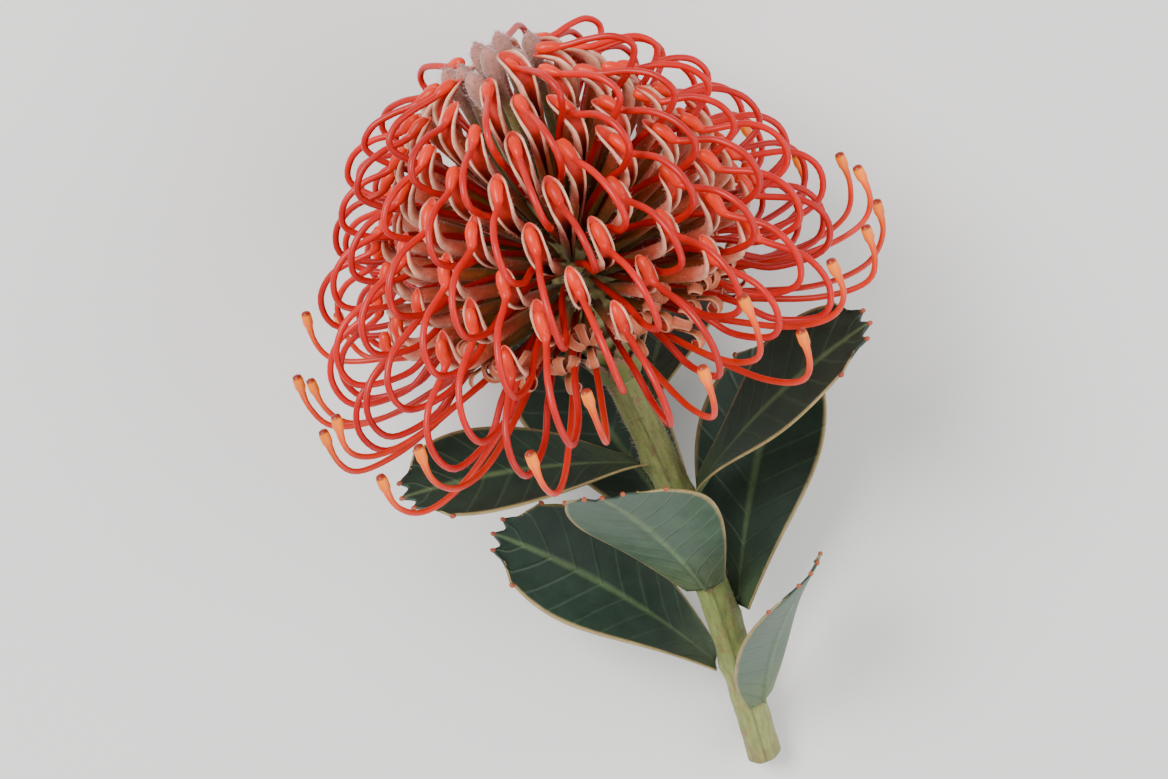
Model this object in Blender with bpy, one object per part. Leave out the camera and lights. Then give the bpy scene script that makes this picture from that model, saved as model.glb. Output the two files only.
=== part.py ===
"""A pincushion protea flower (Leucospermum), cut and laid on a surface.

The flower head is a cone-shaped receptacle that carries 143 florets, placed by the golden angle so that
they fall into 13 spiral rows. Each floret has a perianth, the sheath that closed round it in bud, and a style.
In the upper rows the style's tip is still held in the sheath, so the style bows out as a loop. In the lowest
rows it has sprung free and ends in a club-shaped pollen presenter. Whorls of bracts close the head from below,
and leaves stand on the stem.

Sizes are in metres. Points of the flower are first placed in the flower's own frame, a cylinder of azimuth,
radius and height round the stem's axis, with height 0 at the receptacle's base and azimuth 0 on the side that
ends up on top, and place() carries them to where the flower lies.
"""

import math

import bpy
import numpy as np

MM = 0.001

# Phyllotaxis.
ROWS = 13
FLORETS_PER_ROW = 11
FLORETS = ROWS * FLORETS_PER_ROW
GOLDEN_ANGLE = math.radians(137.507764)
CLOSED_BUDS = 8  # the innermost florets, whose style hasn't yet broken out
FIRST_OPEN_PLACE = 9  # places in a row from here down have a free style

# Receptacle, the cone in the middle of the head.
RECEPTACLE_BASE_R = 10.5 * MM
RECEPTACLE_TIP_R = 3.5 * MM
CONE_HEIGHT = 27.0 * MM  # the stretch that carries florets
CONE_START = 3.0 * MM
RECEPTACLE_SIDES = 24
SEAT_GAP = 0.3 * MM  # between pieces that touch

# Florets. Along is measured on the floret's own axis, and out at right angles to it, towards the stem.
TOP_TILT = math.radians(5)
BOTTOM_TILT = math.radians(100)
TILT_POWER = 0.7
SHEATH_LENGTH = 30.0 * MM
STRIP_THICKNESS = 0.55 * MM
STRIP_SHARE = 0.075  # half the strip's width, as a share of the receptacle's radius
FOOT_HALF_LENGTH = 0.55 * MM
STYLE_R = 0.65 * MM
PRESENTER_R = 1.1 * MM
LOOP_POINTS = 9  # corners of a style's centreline
STYLE_SEAT_STEPS = 0.45  # how far down its row a style's foot stands from its sheath's

# Loops of the held styles, from the innermost floret to the lower part of the head.
FIRST_REACH = 5.0 * MM  # past the sheath's tip
FULL_REACH = 14.0 * MM
FIRST_WIDTH = 11.0 * MM  # from the sheath to the loop's outer side
FULL_WIDTH = 17.0 * MM
FULL_GROWN_SHARE = 0.6

# How the flower lies: the head rests on its styles, and the stem slants down to its cut end.
STEM_LENGTH = 118.0 * MM
STEM_TOP_R = 5.2 * MM
STEM_R = 3.6 * MM
STEM_CUT_R = 3.9 * MM
STEM_NECK = 9.0 * MM  # length over which the thick neck under the head fades
STEM_BOW = 3.0 * MM
STEM_SIDES = 12
HEAD_BASE_HEIGHT = 46.0 * MM
FLOOR_CLEARANCE = 0.6 * MM
TILT_OF_AXIS = math.asin((HEAD_BASE_HEIGHT - STEM_CUT_R - FLOOR_CLEARANCE) / STEM_LENGTH)
LOOP_CLEARANCE = 2.4 * MM  # the looped styles lie on the free ones
FLOOR_SOFTNESS = 1.5 * MM

# Leaves.
LEAVES = 8
FIRST_LEAF_DISTANCE = 25.0 * MM  # down the stem from the head
LEAF_STEP = 11.0 * MM
LEAF_THICKNESS = 1.0 * MM
SHORTEST_LEAF = 44.0 * MM
LONGEST_LEAF = 62.0 * MM
FIRST_LEAF_AZIMUTH = math.radians(150)
LEAF_TIP_DEPTH = 15.0 * MM  # the upper leaves lean out, so that their tips stay this far below the head
LEAST_LEAF_SLANT = math.radians(38)  # between the middle of a lower leaf and the axis
LEAF_ARCH = math.radians(24)  # turn from foot to tip
LEAF_TWIST = math.radians(50)  # turn of a blade that stands to the side, which brings its upper face up
LEAF_CUP = 0.18  # depth of the blade's hollow, as a share of half its width
LEAF_SLENDERNESS = 0.24  # half the greatest width, as a share of the length

# Involucre.
WHORLS = 3
BRACTS_PER_WHORL = 8
BRACT_POINTS = 4  # points of the whorl's edge for each bract
INVOLUCRE_DEPTH = 15.8 * MM  # of the lowest whorl's foot below the head
WHORL_STEP = 4.0 * MM
BRACT_LENGTH = 9.0 * MM
BRACT_THICKNESS = 0.6 * MM
FIRST_BRACT_LEAN = math.radians(30)  # from the axis
BRACT_LEAN_STEP = math.radians(10)

FLESH = {
    "stem": ((0.30, 0.33, 0.13), 0.65),
    "receptacle": ((0.52, 0.50, 0.25), 0.8),
    "bract": ((0.40, 0.36, 0.20), 0.7),
    "leaf": ((0.09, 0.19, 0.11), 0.5),
    "perianth": ((0.72, 0.36, 0.27), 0.75),
    "style": ((0.82, 0.09, 0.04), 0.35),
}


def material(name):
    """The Principled material of one kind of tissue."""
    found = bpy.data.materials.get(name)
    if found:
        return found
    colour, roughness = FLESH[name]
    made = bpy.data.materials.new(name)
    made.use_nodes = True
    shader = made.node_tree.nodes["Principled BSDF"]
    shader.inputs["Base Color"].default_value = (*colour, 1.0)
    shader.inputs["Roughness"].default_value = roughness
    shader.inputs["Metallic"].default_value = 0.0
    return made


# ---------------------------------------------------------------- places

AXIS = np.array([0.0, math.cos(TILT_OF_AXIS), math.sin(TILT_OF_AXIS)])
UP_SIDE = np.array([0.0, -math.sin(TILT_OF_AXIS), math.cos(TILT_OF_AXIS)])
ACROSS = np.array([1.0, 0.0, 0.0])
HEAD_BASE = np.array([0.0, 0.0, HEAD_BASE_HEIGHT])


def around(azimuth):
    """The unit vector that points away from the axis at this azimuth."""
    return UP_SIDE * math.cos(azimuth) + ACROSS * math.sin(azimuth)


def sideways(azimuth):
    """The unit vector along the circle at this azimuth."""
    return -UP_SIDE * math.sin(azimuth) + ACROSS * math.cos(azimuth)


def place(azimuth, radius, height):
    """A point of the flower's cylinder frame, carried to where the flower lies."""
    return HEAD_BASE + around(azimuth) * radius + AXIS * height


def settle(points, clearance=FLOOR_CLEARANCE):
    """Lifts what would pass below the surface until it lies on it, with a soft bend."""
    points = np.array(points, float)
    depth = (points[..., 2] - clearance) / FLOOR_SOFTNESS
    points[..., 2] = clearance + FLOOR_SOFTNESS * np.logaddexp(0.0, depth)
    return points


def cone_radius(height):
    """The receptacle's radius at this height: straight from base to tip."""
    share = (height - CONE_START) / CONE_HEIGHT
    return RECEPTACLE_BASE_R + (RECEPTACLE_TIP_R - RECEPTACLE_BASE_R) * min(max(share, 0.0), 1.0)


def seat_height(index):
    """Height of a floret's seat. Equal areas of the cone carry equal numbers of florets."""
    u = (index + 0.5) / FLORETS
    tip, base = RECEPTACLE_TIP_R, RECEPTACLE_BASE_R
    spread = base - tip
    from_tip = (math.sqrt(tip**2 + u * (base**2 - tip**2)) - tip) / spread
    return CONE_START + CONE_HEIGHT * (1.0 - from_tip)


def tilt_of(index):
    """Angle between a floret and the head's axis, small at the top and past level at the base."""
    u = (index + 0.5) / FLORETS
    return TOP_TILT + (BOTTOM_TILT - TOP_TILT) * u**TILT_POWER


def floret_frame(index):
    """A floret's seat and its three directions: along it, out towards the stem, and sideways."""
    azimuth = index * GOLDEN_ANGLE
    height = seat_height(index)
    tilt = tilt_of(index)
    seat = place(azimuth, cone_radius(height) + SEAT_GAP, height)
    along = around(azimuth) * math.sin(tilt) + AXIS * math.cos(tilt)
    out = around(azimuth) * math.cos(tilt) - AXIS * math.sin(tilt)
    return seat, along, out, sideways(azimuth)


def style_seat(index):
    """Azimuth and height of a style's foot, between two rows of sheaths and a little further down."""
    row_gap = 2 * math.pi / ROWS
    step_turn = ROWS * GOLDEN_ANGLE - 5 * 2 * math.pi
    azimuth = index * GOLDEN_ANGLE + row_gap / 2 + STYLE_SEAT_STEPS * step_turn
    return azimuth, seat_height(index + ROWS * STYLE_SEAT_STEPS)


# ---------------------------------------------------------------- meshes


class Shell:
    """Points and faces of one closed surface, gathered piece by piece."""

    def __init__(self):
        self.points = []
        self.faces = []

    def add(self, points):
        """Adds points and returns their indices."""
        start = len(self.points)
        self.points.extend(np.asarray(p, float) for p in points)
        return list(range(start, len(self.points)))

    def face(self, *corners):
        """Adds one face."""
        self.faces.append(corners)

    def bridge(self, first, second):
        """Joins two rings of as many points each with four-sided faces."""
        for a in range(len(first)):
            b = (a + 1) % len(first)
            self.face(first[a], first[b], second[b], second[a])

    def to_object(self, name, kind):
        """Makes the object, with its faces turned outwards."""
        points = np.array(self.points)
        volume = 0.0
        for corners in self.faces:
            fan = points[list(corners)]
            for k in range(1, len(fan) - 1):
                volume += np.dot(fan[0], np.cross(fan[k], fan[k + 1]))
        faces = self.faces if volume > 0 else [corners[::-1] for corners in self.faces]
        mesh = bpy.data.meshes.new(name)
        mesh.from_pydata(points.tolist(), [], faces)
        mesh.materials.append(material(kind))
        mesh.update()
        made = bpy.data.objects.new(name, mesh)
        bpy.context.scene.collection.objects.link(made)
        return made


def smooth_path(corners, count):
    """A Catmull-Rom curve through the corners, as count points at even lengths along it."""
    corners = np.asarray(corners, float)
    padded = np.vstack([2 * corners[0] - corners[1], corners, 2 * corners[-1] - corners[-2]])
    fine = []
    for k in range(1, len(padded) - 2):
        before, here, there, after = padded[k - 1 : k + 3]
        for t in np.linspace(0, 1, 12, endpoint=False):
            fine.append(
                0.5 * (2 * here + (there - before) * t
                       + (2 * before - 5 * here + 4 * there - after) * t**2
                       + (3 * here - before - 3 * there + after) * t**3)
            )
    fine.append(corners[-1])
    fine = np.array(fine)
    lengths = np.concatenate([[0.0], np.cumsum(np.linalg.norm(np.diff(fine, axis=0), axis=1))])
    wanted = np.linspace(0.0, lengths[-1], count)
    return np.stack([np.interp(wanted, lengths, fine[:, axis]) for axis in range(3)], axis=1)


def grow_tube(shell, foot_ring, path, half_sizes, side):
    """Grows a four-sided tube from a ring of four points.

    half_sizes gives, for each point of the path after the first, half the tube's thickness and half its width.
    side is the direction of its width."""
    ring = foot_ring
    for k in range(1, len(path)):
        ahead = path[min(k + 1, len(path) - 1)] - path[k - 1]
        ahead = ahead / np.linalg.norm(ahead)
        across = side - ahead * np.dot(side, ahead)
        across = across / np.linalg.norm(across)
        deep = np.cross(across, ahead)
        thick, wide = half_sizes[k]
        corners = [(-1, -1), (-1, 1), (1, 1), (1, -1)]
        new_ring = shell.add(path[k] + deep * thick * a + across * wide * b for a, b in corners)
        shell.bridge(ring, new_ring)
        ring = new_ring
    shell.face(*ring)


def strip_with_tubes(name, kind, feet, half_width, tubes):
    """One body: a narrow strip that runs down the cone, with a tube growing out of it at each foot.

    feet are (azimuth, height) on the cone, from the top of the row down. tubes gives for each foot its path,
    its half sizes and its side direction."""
    shell = Shell()
    centres = [place(a, cone_radius(h) + SEAT_GAP, h) for a, h in feet]
    previous = None
    for k, (azimuth, height) in enumerate(feet):
        behind = centres[max(k - 1, 0)]
        beyond = centres[min(k + 1, len(feet) - 1)]
        down = (beyond - behind) / np.linalg.norm(beyond - behind)
        normal = around(azimuth)
        normal = normal - down * np.dot(normal, down)
        normal = normal / np.linalg.norm(normal)
        across = np.cross(normal, down)
        half = half_width * cone_radius(height)
        for end in (-1, 1):
            middle = centres[k] + down * FOOT_HALF_LENGTH * end
            raised = middle + normal * STRIP_THICKNESS
            left, right, inner = shell.add([raised - across * half, raised + across * half, middle])
            if previous is None:
                shell.face(inner, right, left)
            else:
                was_left, was_right, was_inner = previous
                shell.face(was_right, was_inner, inner, right)
                shell.face(was_inner, was_left, left, inner)
                if end == -1:
                    shell.face(was_left, was_right, right, left)
                else:
                    path, half_sizes, side = tubes[k]
                    grow_tube(shell, [was_left, was_right, right, left], path, half_sizes, side)
            previous = [left, right, inner]
    shell.face(*previous)
    return shell.to_object(name, kind)


# ---------------------------------------------------------------- florets


def local_path(index, corners, count, start=None):
    """Turns (along, out) corners in a floret's frame into an even path. start replaces the first."""
    seat, along, out, _ = floret_frame(index)
    points = [seat + along * a * MM + out * b * MM for a, b in corners]
    if start is not None:
        points[0] = start
    return smooth_path(points, count)


def eased(values, count):
    """Half sizes given at even steps, read at count even steps."""
    values = np.asarray(values, float) * MM
    at = np.linspace(0, len(values) - 1, count)
    return np.stack([np.interp(at, range(len(values)), values[:, k]) for k in (0, 1)], axis=1)


def sheath(index, place_in_row):
    """The perianth of one floret: a closed bud, a hooked sheath or a short one that has let its style go.

    The closed buds lean together into a tuft."""
    if index < CLOSED_BUDS:
        path = local_path(index, [(0, 0), (10, -0.6), (20, -2), (32, -4)], 6)
        sizes = eased([(0.4, 0.3), (0.7, 0.7), (0.7, 0.7), (0.9, 0.9), (1.7, 1.7), (0.8, 0.8)], 6)
    elif place_in_row < FIRST_OPEN_PLACE:
        tip = SHEATH_LENGTH / MM
        corners = [(0, 0), (tip * 0.5, 0), (tip - 5, 0), (tip - 0.6, -1.6), (tip + 0.6, -6.0)]
        path = local_path(index, corners, 5)
        sizes = eased([(0.5, 0.5), (1.0, 1.2), (1.2, 1.6), (1.4, 1.9), (1.2, 1.6)], 5)
    else:
        path = local_path(index, [(0, 0), (10, 0), (18, -0.3), (23, -1.5)], 4)
        sizes = eased([(0.5, 0.5), (0.9, 1.1), (1.2, 1.5), (1.1, 1.2)], 4)
    return path, sizes, sideways(index * GOLDEN_ANGLE)


def looped_style(index):
    """A style whose tip is still held: it runs out, turns and comes back to lie on the hooked sheath.

    The loops grow from the tip of the head down, both in reach and in width."""
    grown = min(1.0, index / (FULL_GROWN_SHARE * FLORETS))
    reach = (FIRST_REACH + (FULL_REACH - FIRST_REACH) * grown) / MM
    width = (FIRST_WIDTH + (FULL_WIDTH - FIRST_WIDTH) * grown) / MM
    rim = SHEATH_LENGTH / MM
    corners = [
        (0, 1.6),
        (11, 4.0),
        (22, 1.5 + 0.50 * width),
        (rim - 1.0, 0.92 * width),
        (rim + 0.70 * reach, width),
        (rim + reach, 0.66 * width),
        (rim + 0.84 * reach, 0.24 * width),
        (rim + 3.6, -2.0),
        (rim + 2.8, -6.2),
    ]
    azimuth, height = style_seat(index)
    foot = place(azimuth, cone_radius(height) + SEAT_GAP + STRIP_THICKNESS, height)
    path = settle(local_path(index, corners, LOOP_POINTS, foot), LOOP_CLEARANCE)
    sizes = eased([(STYLE_R / MM, STYLE_R / MM)] * 2, LOOP_POINTS)
    return path, sizes, sideways(index * GOLDEN_ANGLE)


def open_style(index):
    """A style that has sprung free: it sweeps out past the rim and turns up to its club-shaped end."""
    corners = [(0, 1.6), (12, 3.6), (26, 7.0), (39, 8.4), (49, 5.8), (53.5, -0.5), (54, -8.0)]
    azimuth, height = style_seat(index)
    foot = place(azimuth, cone_radius(height) + SEAT_GAP + STRIP_THICKNESS, height)
    path = settle(local_path(index, corners, LOOP_POINTS, foot))
    thin, club = STYLE_R / MM, PRESENTER_R / MM
    sizes = eased([(thin, thin)] * (LOOP_POINTS - 1) + [(club, club)], LOOP_POINTS)
    return path, sizes, sideways(index * GOLDEN_ANGLE)


def build_florets():
    """One sheath row, one row of looped styles and one row of free styles for each of the 13 spirals."""
    for row in range(ROWS):
        places = list(range(FLORETS_PER_ROW))
        numbers = [row + ROWS * k for k in places]
        seats = [(n * GOLDEN_ANGLE, seat_height(n)) for n in numbers]
        sheaths = [sheath(n, k) for n, k in zip(numbers, places)]
        strip_with_tubes(f"perianths_row_{row + 1:02d}", "perianth", seats, STRIP_SHARE, sheaths)
        looped = [n for n, k in zip(numbers, places) if n >= CLOSED_BUDS and k < FIRST_OPEN_PLACE]
        free = numbers[FIRST_OPEN_PLACE:]
        for kind, group, maker in (("looped", looped, looped_style), ("open", free, open_style)):
            feet = [style_seat(n) for n in group]
            tubes = [maker(n) for n in group]
            name = f"{kind}_styles_row_{row + 1:02d}"
            strip_with_tubes(name, "style", feet, STRIP_SHARE * 0.8, tubes)


# ---------------------------------------------------------------- receptacle, stem and involucre


def turned(name, kind, profile, sides):
    """A body turned round the flower's axis. profile is (radius, height) from the base up."""
    shell = Shell()
    rings = []
    for radius, height in profile:
        angles = np.arange(sides) * 2 * math.pi / sides
        rings.append(shell.add(place(a, radius, height) for a in angles))
    for lower, upper in zip(rings, rings[1:]):
        shell.bridge(lower, upper)
    shell.face(*rings[0][::-1])
    shell.face(*rings[-1])
    return shell.to_object(name, kind)


def build_receptacle():
    """The cone that carries the florets, with a blunt tip."""
    top = CONE_START + CONE_HEIGHT
    profile = [
        (RECEPTACLE_BASE_R * 0.8, 0.0),
        (RECEPTACLE_BASE_R, CONE_START),
        (RECEPTACLE_TIP_R, top),
        (RECEPTACLE_TIP_R * 0.75, top + 1.6 * MM),
        (RECEPTACLE_TIP_R * 0.3, top + 2.6 * MM),
    ]
    turned("receptacle", "receptacle", profile, RECEPTACLE_SIDES)


def stem_centre(distance):
    """A point on the stem's centreline, this far below the receptacle. It bows a little to one side."""
    bow = STEM_BOW * math.sin(math.pi * distance / STEM_LENGTH)
    return HEAD_BASE - AXIS * distance + ACROSS * bow


def stem_radius(distance):
    """Widest under the head, slim along its length and a little thicker at the woody cut end."""
    neck = math.exp(-distance / STEM_NECK)
    return STEM_R + (STEM_TOP_R - STEM_R) * neck + (STEM_CUT_R - STEM_R) * distance / STEM_LENGTH


def build_stem():
    """The woody stem, from its seat under the receptacle to its cut end."""
    shell = Shell()
    rings = []
    angles = np.arange(STEM_SIDES) * 2 * math.pi / STEM_SIDES
    for distance in np.concatenate([[SEAT_GAP / MM, 5, 11], np.linspace(20, STEM_LENGTH / MM, 8)]) * MM:
        centre, radius = stem_centre(distance), stem_radius(distance)
        rings.append(shell.add(centre + around(a) * radius for a in angles))
    for upper, lower in zip(rings, rings[1:]):
        shell.bridge(upper, lower)
    shell.face(*rings[0][::-1])
    shell.face(*rings[-1])
    shell.to_object("stem", "stem")


def build_involucre():
    """Whorls of pointed bracts under the head. Each whorl is a collar whose free edge is cut into points."""
    steps = BRACTS_PER_WHORL * BRACT_POINTS
    for whorl in range(WHORLS):
        base_height = -INVOLUCRE_DEPTH + WHORL_STEP * whorl
        base_radius = stem_radius(-base_height) + SEAT_GAP * (1 + whorl / WHORLS)
        lean = FIRST_BRACT_LEAN + BRACT_LEAN_STEP * whorl
        centre = stem_centre(-base_height) - place(0, 0, base_height)
        shell = Shell()
        loops = [[], [], [], []]  # inner foot, inner tip, outer tip, outer foot
        for k in range(steps):
            azimuth = 2 * math.pi * (k + whorl * BRACT_POINTS / 2) / steps
            point = (1 - math.cos(2 * math.pi * k / BRACT_POINTS)) / 2
            reach = BRACT_LENGTH * (0.62 + 0.38 * point)
            tip_radius = base_radius + reach * math.sin(lean)
            tip_height = base_height + reach * math.cos(lean)
            under_radius = tip_radius + BRACT_THICKNESS * math.cos(lean)
            under_height = tip_height - BRACT_THICKNESS * math.sin(lean)
            for loop, (radius, height) in zip(loops, (
                (base_radius, base_height),
                (tip_radius, tip_height),
                (under_radius, under_height),
                (base_radius + BRACT_THICKNESS, base_height - BRACT_THICKNESS / 2),
            )):
                loop.append(place(azimuth, radius, height) + centre)
        rings = [shell.add(loop) for loop in loops]
        for ring, following in zip(rings, rings[1:] + rings[:1]):
            shell.bridge(ring, following)
        shell.to_object(f"involucre_whorl_{whorl + 1}", "bract")


# ---------------------------------------------------------------- leaves


def leaf_half_width(share):
    """Half the blade's width at this share of its length, as a share of its greatest.

    The foot is about as wide as the stem, the widest place is past the middle, and the tip is blunt."""
    return 0.3 + 0.7 * np.sin(math.pi * np.minimum(share, 0.98) ** 1.4) ** 0.7


def leaf_surface(number, rows, columns):
    """The middle surface of one leaf, as a grid of points from its foot to its tip.

    The blade leaves the stem at a slant, arches outwards, twists until its upper face looks up and is a little
    cupped. It lies on the surface where it meets it."""
    distance = FIRST_LEAF_DISTANCE + LEAF_STEP * number
    azimuth = number * GOLDEN_ANGLE + FIRST_LEAF_AZIMUTH
    share_down = number / (LEAVES - 1)
    length = SHORTEST_LEAF + (LONGEST_LEAF - SHORTEST_LEAF) * math.sin(math.pi * (0.1 + 0.7 * share_down))
    rise = min((distance - LEAF_TIP_DEPTH) / length, math.cos(LEAST_LEAF_SLANT))
    outward = around(azimuth)
    share = np.linspace(0.0, 1.0, rows)
    slant = math.acos(rise) + LEAF_ARCH * (share - 0.5)
    heading = np.outer(np.sin(slant), outward) + np.outer(np.cos(slant), AXIS)
    foot = stem_centre(distance) + outward * (stem_radius(distance) + SEAT_GAP + LEAF_THICKNESS / 2)
    steps = heading[:-1] * length / (rows - 1)
    middle = foot + np.vstack([np.zeros(3), np.cumsum(steps, axis=0)])
    twist = LEAF_TWIST * math.sin(azimuth) * abs(math.sin(azimuth / 2)) * np.sin(math.pi / 2 * share)
    across = np.outer(np.cos(twist), sideways(azimuth))
    across = across + np.cross(heading, sideways(azimuth)) * np.sin(twist)[:, None]
    face = np.cross(heading, across)
    half = length * LEAF_SLENDERNESS * leaf_half_width(share)
    column = np.linspace(-1.0, 1.0, columns)
    cup = (half * LEAF_CUP)[:, None] * (column**2 - 0.4)
    flat = middle[:, None] + across[:, None] * (half[:, None] * column)[..., None]
    return settle(flat + face[:, None] * cup[..., None])


def build_leaf(number):
    """One leaf, as its middle surface thickened to both sides."""
    rows, columns = 8, 5
    surface = leaf_surface(number, rows, columns)
    normal = np.cross(np.gradient(surface, axis=0), np.gradient(surface, axis=1))
    normal = normal / np.linalg.norm(normal, axis=2, keepdims=True) * LEAF_THICKNESS / 2
    shell = Shell()
    rings = []
    for upper, lower in zip(surface + normal, surface - normal):
        rings.append(shell.add(upper) + shell.add(lower)[::-1])
    for ring, following in zip(rings, rings[1:]):
        shell.bridge(ring, following)
    for ring, turn in ((rings[0], -1), (rings[-1], 1)):
        for k in range(columns - 1):
            shell.face(*[ring[k], ring[k + 1], ring[-k - 2], ring[-k - 1]][::turn])
    shell.to_object(f"leaf_{number + 1:02d}", "leaf")


# ---------------------------------------------------------------- whole flower


def centre_on_surface():
    """Moves everything so that the origin is under the middle of the flower, on the surface."""
    corners = []
    for made in bpy.data.objects:
        points = np.empty(len(made.data.vertices) * 3)
        made.data.vertices.foreach_get("co", points)
        corners.append(points.reshape(-1, 3))
    points = np.vstack(corners)
    low, high = points.min(axis=0), points.max(axis=0)
    shift = np.array([-(low[0] + high[0]) / 2, -(low[1] + high[1]) / 2, -low[2]])
    for made, own in zip(bpy.data.objects, corners):
        made.data.vertices.foreach_set("co", (own + shift).ravel())
        made.data.update()


def main():
    """Clears the scene and builds the flower."""
    for old in list(bpy.data.objects):
        bpy.data.objects.remove(old)
    build_receptacle()
    build_stem()
    build_involucre()
    build_florets()
    for number in range(LEAVES):
        build_leaf(number)
    centre_on_surface()


main()
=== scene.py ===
"""Looks of a cut pincushion protea, lying on a pale studio floor.

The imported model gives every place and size. The organs of the flower are then worked out as grids of points,
one class for each kind of organ:

* `Perianths`: the downy sheaths of the florets, hooked, rolled back or still closed,
* `Styles`: the waxy threads, looped in the upper florets and sprung free in the lowest ones,
* `Involucre`, `Stem` and `Leaves`: what carries the head.

All shapes are worked out in millimetres, and `Skin.to_piece` turns them to metres.
"""

import logging
import math
from dataclasses import dataclass, field
from enum import Enum
from typing import Iterable, Sequence

import bpy
import numpy as np
from mathutils import Matrix, Vector


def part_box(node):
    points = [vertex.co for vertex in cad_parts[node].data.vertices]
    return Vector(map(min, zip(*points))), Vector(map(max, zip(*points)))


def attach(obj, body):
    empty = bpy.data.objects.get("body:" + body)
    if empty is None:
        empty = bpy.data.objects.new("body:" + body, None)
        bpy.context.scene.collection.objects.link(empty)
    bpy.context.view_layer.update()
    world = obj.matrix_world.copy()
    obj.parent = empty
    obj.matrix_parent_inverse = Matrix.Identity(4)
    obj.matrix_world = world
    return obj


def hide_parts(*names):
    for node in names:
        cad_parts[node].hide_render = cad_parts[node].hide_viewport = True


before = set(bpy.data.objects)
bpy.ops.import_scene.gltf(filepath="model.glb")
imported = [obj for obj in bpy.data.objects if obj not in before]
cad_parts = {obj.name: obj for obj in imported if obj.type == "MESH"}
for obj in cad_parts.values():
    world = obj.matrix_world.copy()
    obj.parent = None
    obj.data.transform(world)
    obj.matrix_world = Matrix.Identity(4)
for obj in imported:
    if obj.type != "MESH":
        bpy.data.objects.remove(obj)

LOG = logging.getLogger("pincushion")
MM = 0.001
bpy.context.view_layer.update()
ASPECT = 1168 / 779
GROWTH = "growth"  # the attribute that finishes follow
FINE = 240  # points of a centreline before its rings are placed on it

Array = np.ndarray
Stops = tuple[tuple[float, float], ...]  # places along an organ, each with a size there
Shades = tuple[tuple[float, str], ...]  # places along an organ, each with a colour there


# ---------------------------------------------------------------- places


@dataclass(frozen=True)
class Habit:
    """How the flower grows: the driving sizes of the solid model, in millimetres and degrees."""

    rows: int = 13
    florets_per_row: int = 11
    golden_angle: float = 137.507764
    closed_buds: int = 8
    first_open_place: int = 9
    cone_foot_radius: float = 8.4
    cone_base_radius: float = 10.5
    cone_tip_radius: float = 3.5
    cone_start: float = 3.0
    cone_height: float = 27.0
    top_tilt: float = 5.0
    bottom_tilt: float = 100.0
    tilt_power: float = 0.7
    rim: float = 30.0
    seat_gap: float = 0.3
    style_seat_steps: float = 0.45
    style_seat_gap: float = 0.4
    head_base_height: float = 46.0
    floor_clearance: float = 0.6
    stem_length: float = 118.0
    stem_top_radius: float = 5.2
    stem_radius: float = 3.6
    stem_cut_radius: float = 3.9
    stem_neck: float = 9.0
    stem_bow: float = 3.0

    @property
    def florets(self) -> int:
        """Number of florets in the head."""
        return self.rows * self.florets_per_row

    @property
    def axis_tilt(self) -> float:
        """How far the axis points up, in degrees, so that the cut end of the stem lies on the floor."""
        rise = self.head_base_height - self.stem_cut_radius - self.floor_clearance
        return math.degrees(math.asin(rise / self.stem_length))


HABIT = Habit()


def unit(vectors: Array) -> Array:
    """Vectors scaled to length one, along the last axis."""
    return vectors / np.linalg.norm(vectors, axis=-1, keepdims=True)


@dataclass(frozen=True)
class Lie:
    """How the flower lies: the cylinder frame round its axis, whose azimuth 0 is on the upper side.

    Args:
        base: the middle of the receptacle's base, in millimetres.
        tilt: how far the axis points up from the floor, in degrees.
    """

    base: Array
    tilt: float

    @classmethod
    def of_model(cls, node: str, habit: Habit) -> "Lie":
        """Reads the frame from the box of the receptacle, a cone on a narrower foot.

        The foot's ring reaches its radius times sin tilt behind the base. The cone's lowest ring, a little way up
        the axis, reaches its radius times cos tilt below its own middle.

        Args:
            node: the receptacle's node.
            habit: the sizes of the cone.

        Returns:
            The frame.
        """
        low, high = (np.array(corner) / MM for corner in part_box(node))
        angle = math.radians(habit.axis_tilt)
        base = np.array([
            (low[0] + high[0]) / 2,
            low[1] + habit.cone_foot_radius * math.sin(angle),
            low[2] + habit.cone_base_radius * math.cos(angle) - habit.cone_start * math.sin(angle),
        ])
        return cls(base, habit.axis_tilt)

    @property
    def axis(self) -> Array:
        """Unit vector from the stem to the head's tip."""
        return np.array([0.0, math.cos(math.radians(self.tilt)), math.sin(math.radians(self.tilt))])

    @property
    def up_side(self) -> Array:
        """Unit vector at azimuth 0."""
        return np.array([0.0, -math.sin(math.radians(self.tilt)), math.cos(math.radians(self.tilt))])

    @property
    def across(self) -> Array:
        """Unit vector at azimuth 90 degrees."""
        return np.array([1.0, 0.0, 0.0])

    def around(self, azimuth: Array | float) -> Array:
        """Unit vectors away from the axis: up_side times the cosine plus across times the sine."""
        azimuth = np.asarray(azimuth)[..., None]
        return self.up_side * np.cos(azimuth) + self.across * np.sin(azimuth)

    def sideways(self, azimuth: Array | float) -> Array:
        """Unit vectors along the circle, a quarter turn on from `around`."""
        return self.around(np.asarray(azimuth) + math.pi / 2)

    def place(self, azimuth: Array | float, radius: Array | float, height: Array | float) -> Array:
        """Points at this azimuth, radius and height of the cylinder frame."""
        radius, height = np.asarray(radius)[..., None], np.asarray(height)[..., None]
        return self.base + self.around(azimuth) * radius + self.axis * height


LIE = Lie.of_model("receptacle", HABIT)


def settle(points: Array, clearance: Array | float, softness: float = 1.5) -> Array:
    """Lifts what would pass through the floor: height = clearance + softness times ln(1 + e^depth).

    Args:
        points: points of a centreline or middle surface, in millimetres.
        clearance: how low they may come, one number or one for each point.
        softness: over how many millimetres the bend is spread.

    Returns:
        The points, with their heights changed.
    """
    points = np.array(points, float)
    depth = (points[..., 2] - clearance) / softness
    points[..., 2] = clearance + softness * np.logaddexp(0.0, depth)
    return points


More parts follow.
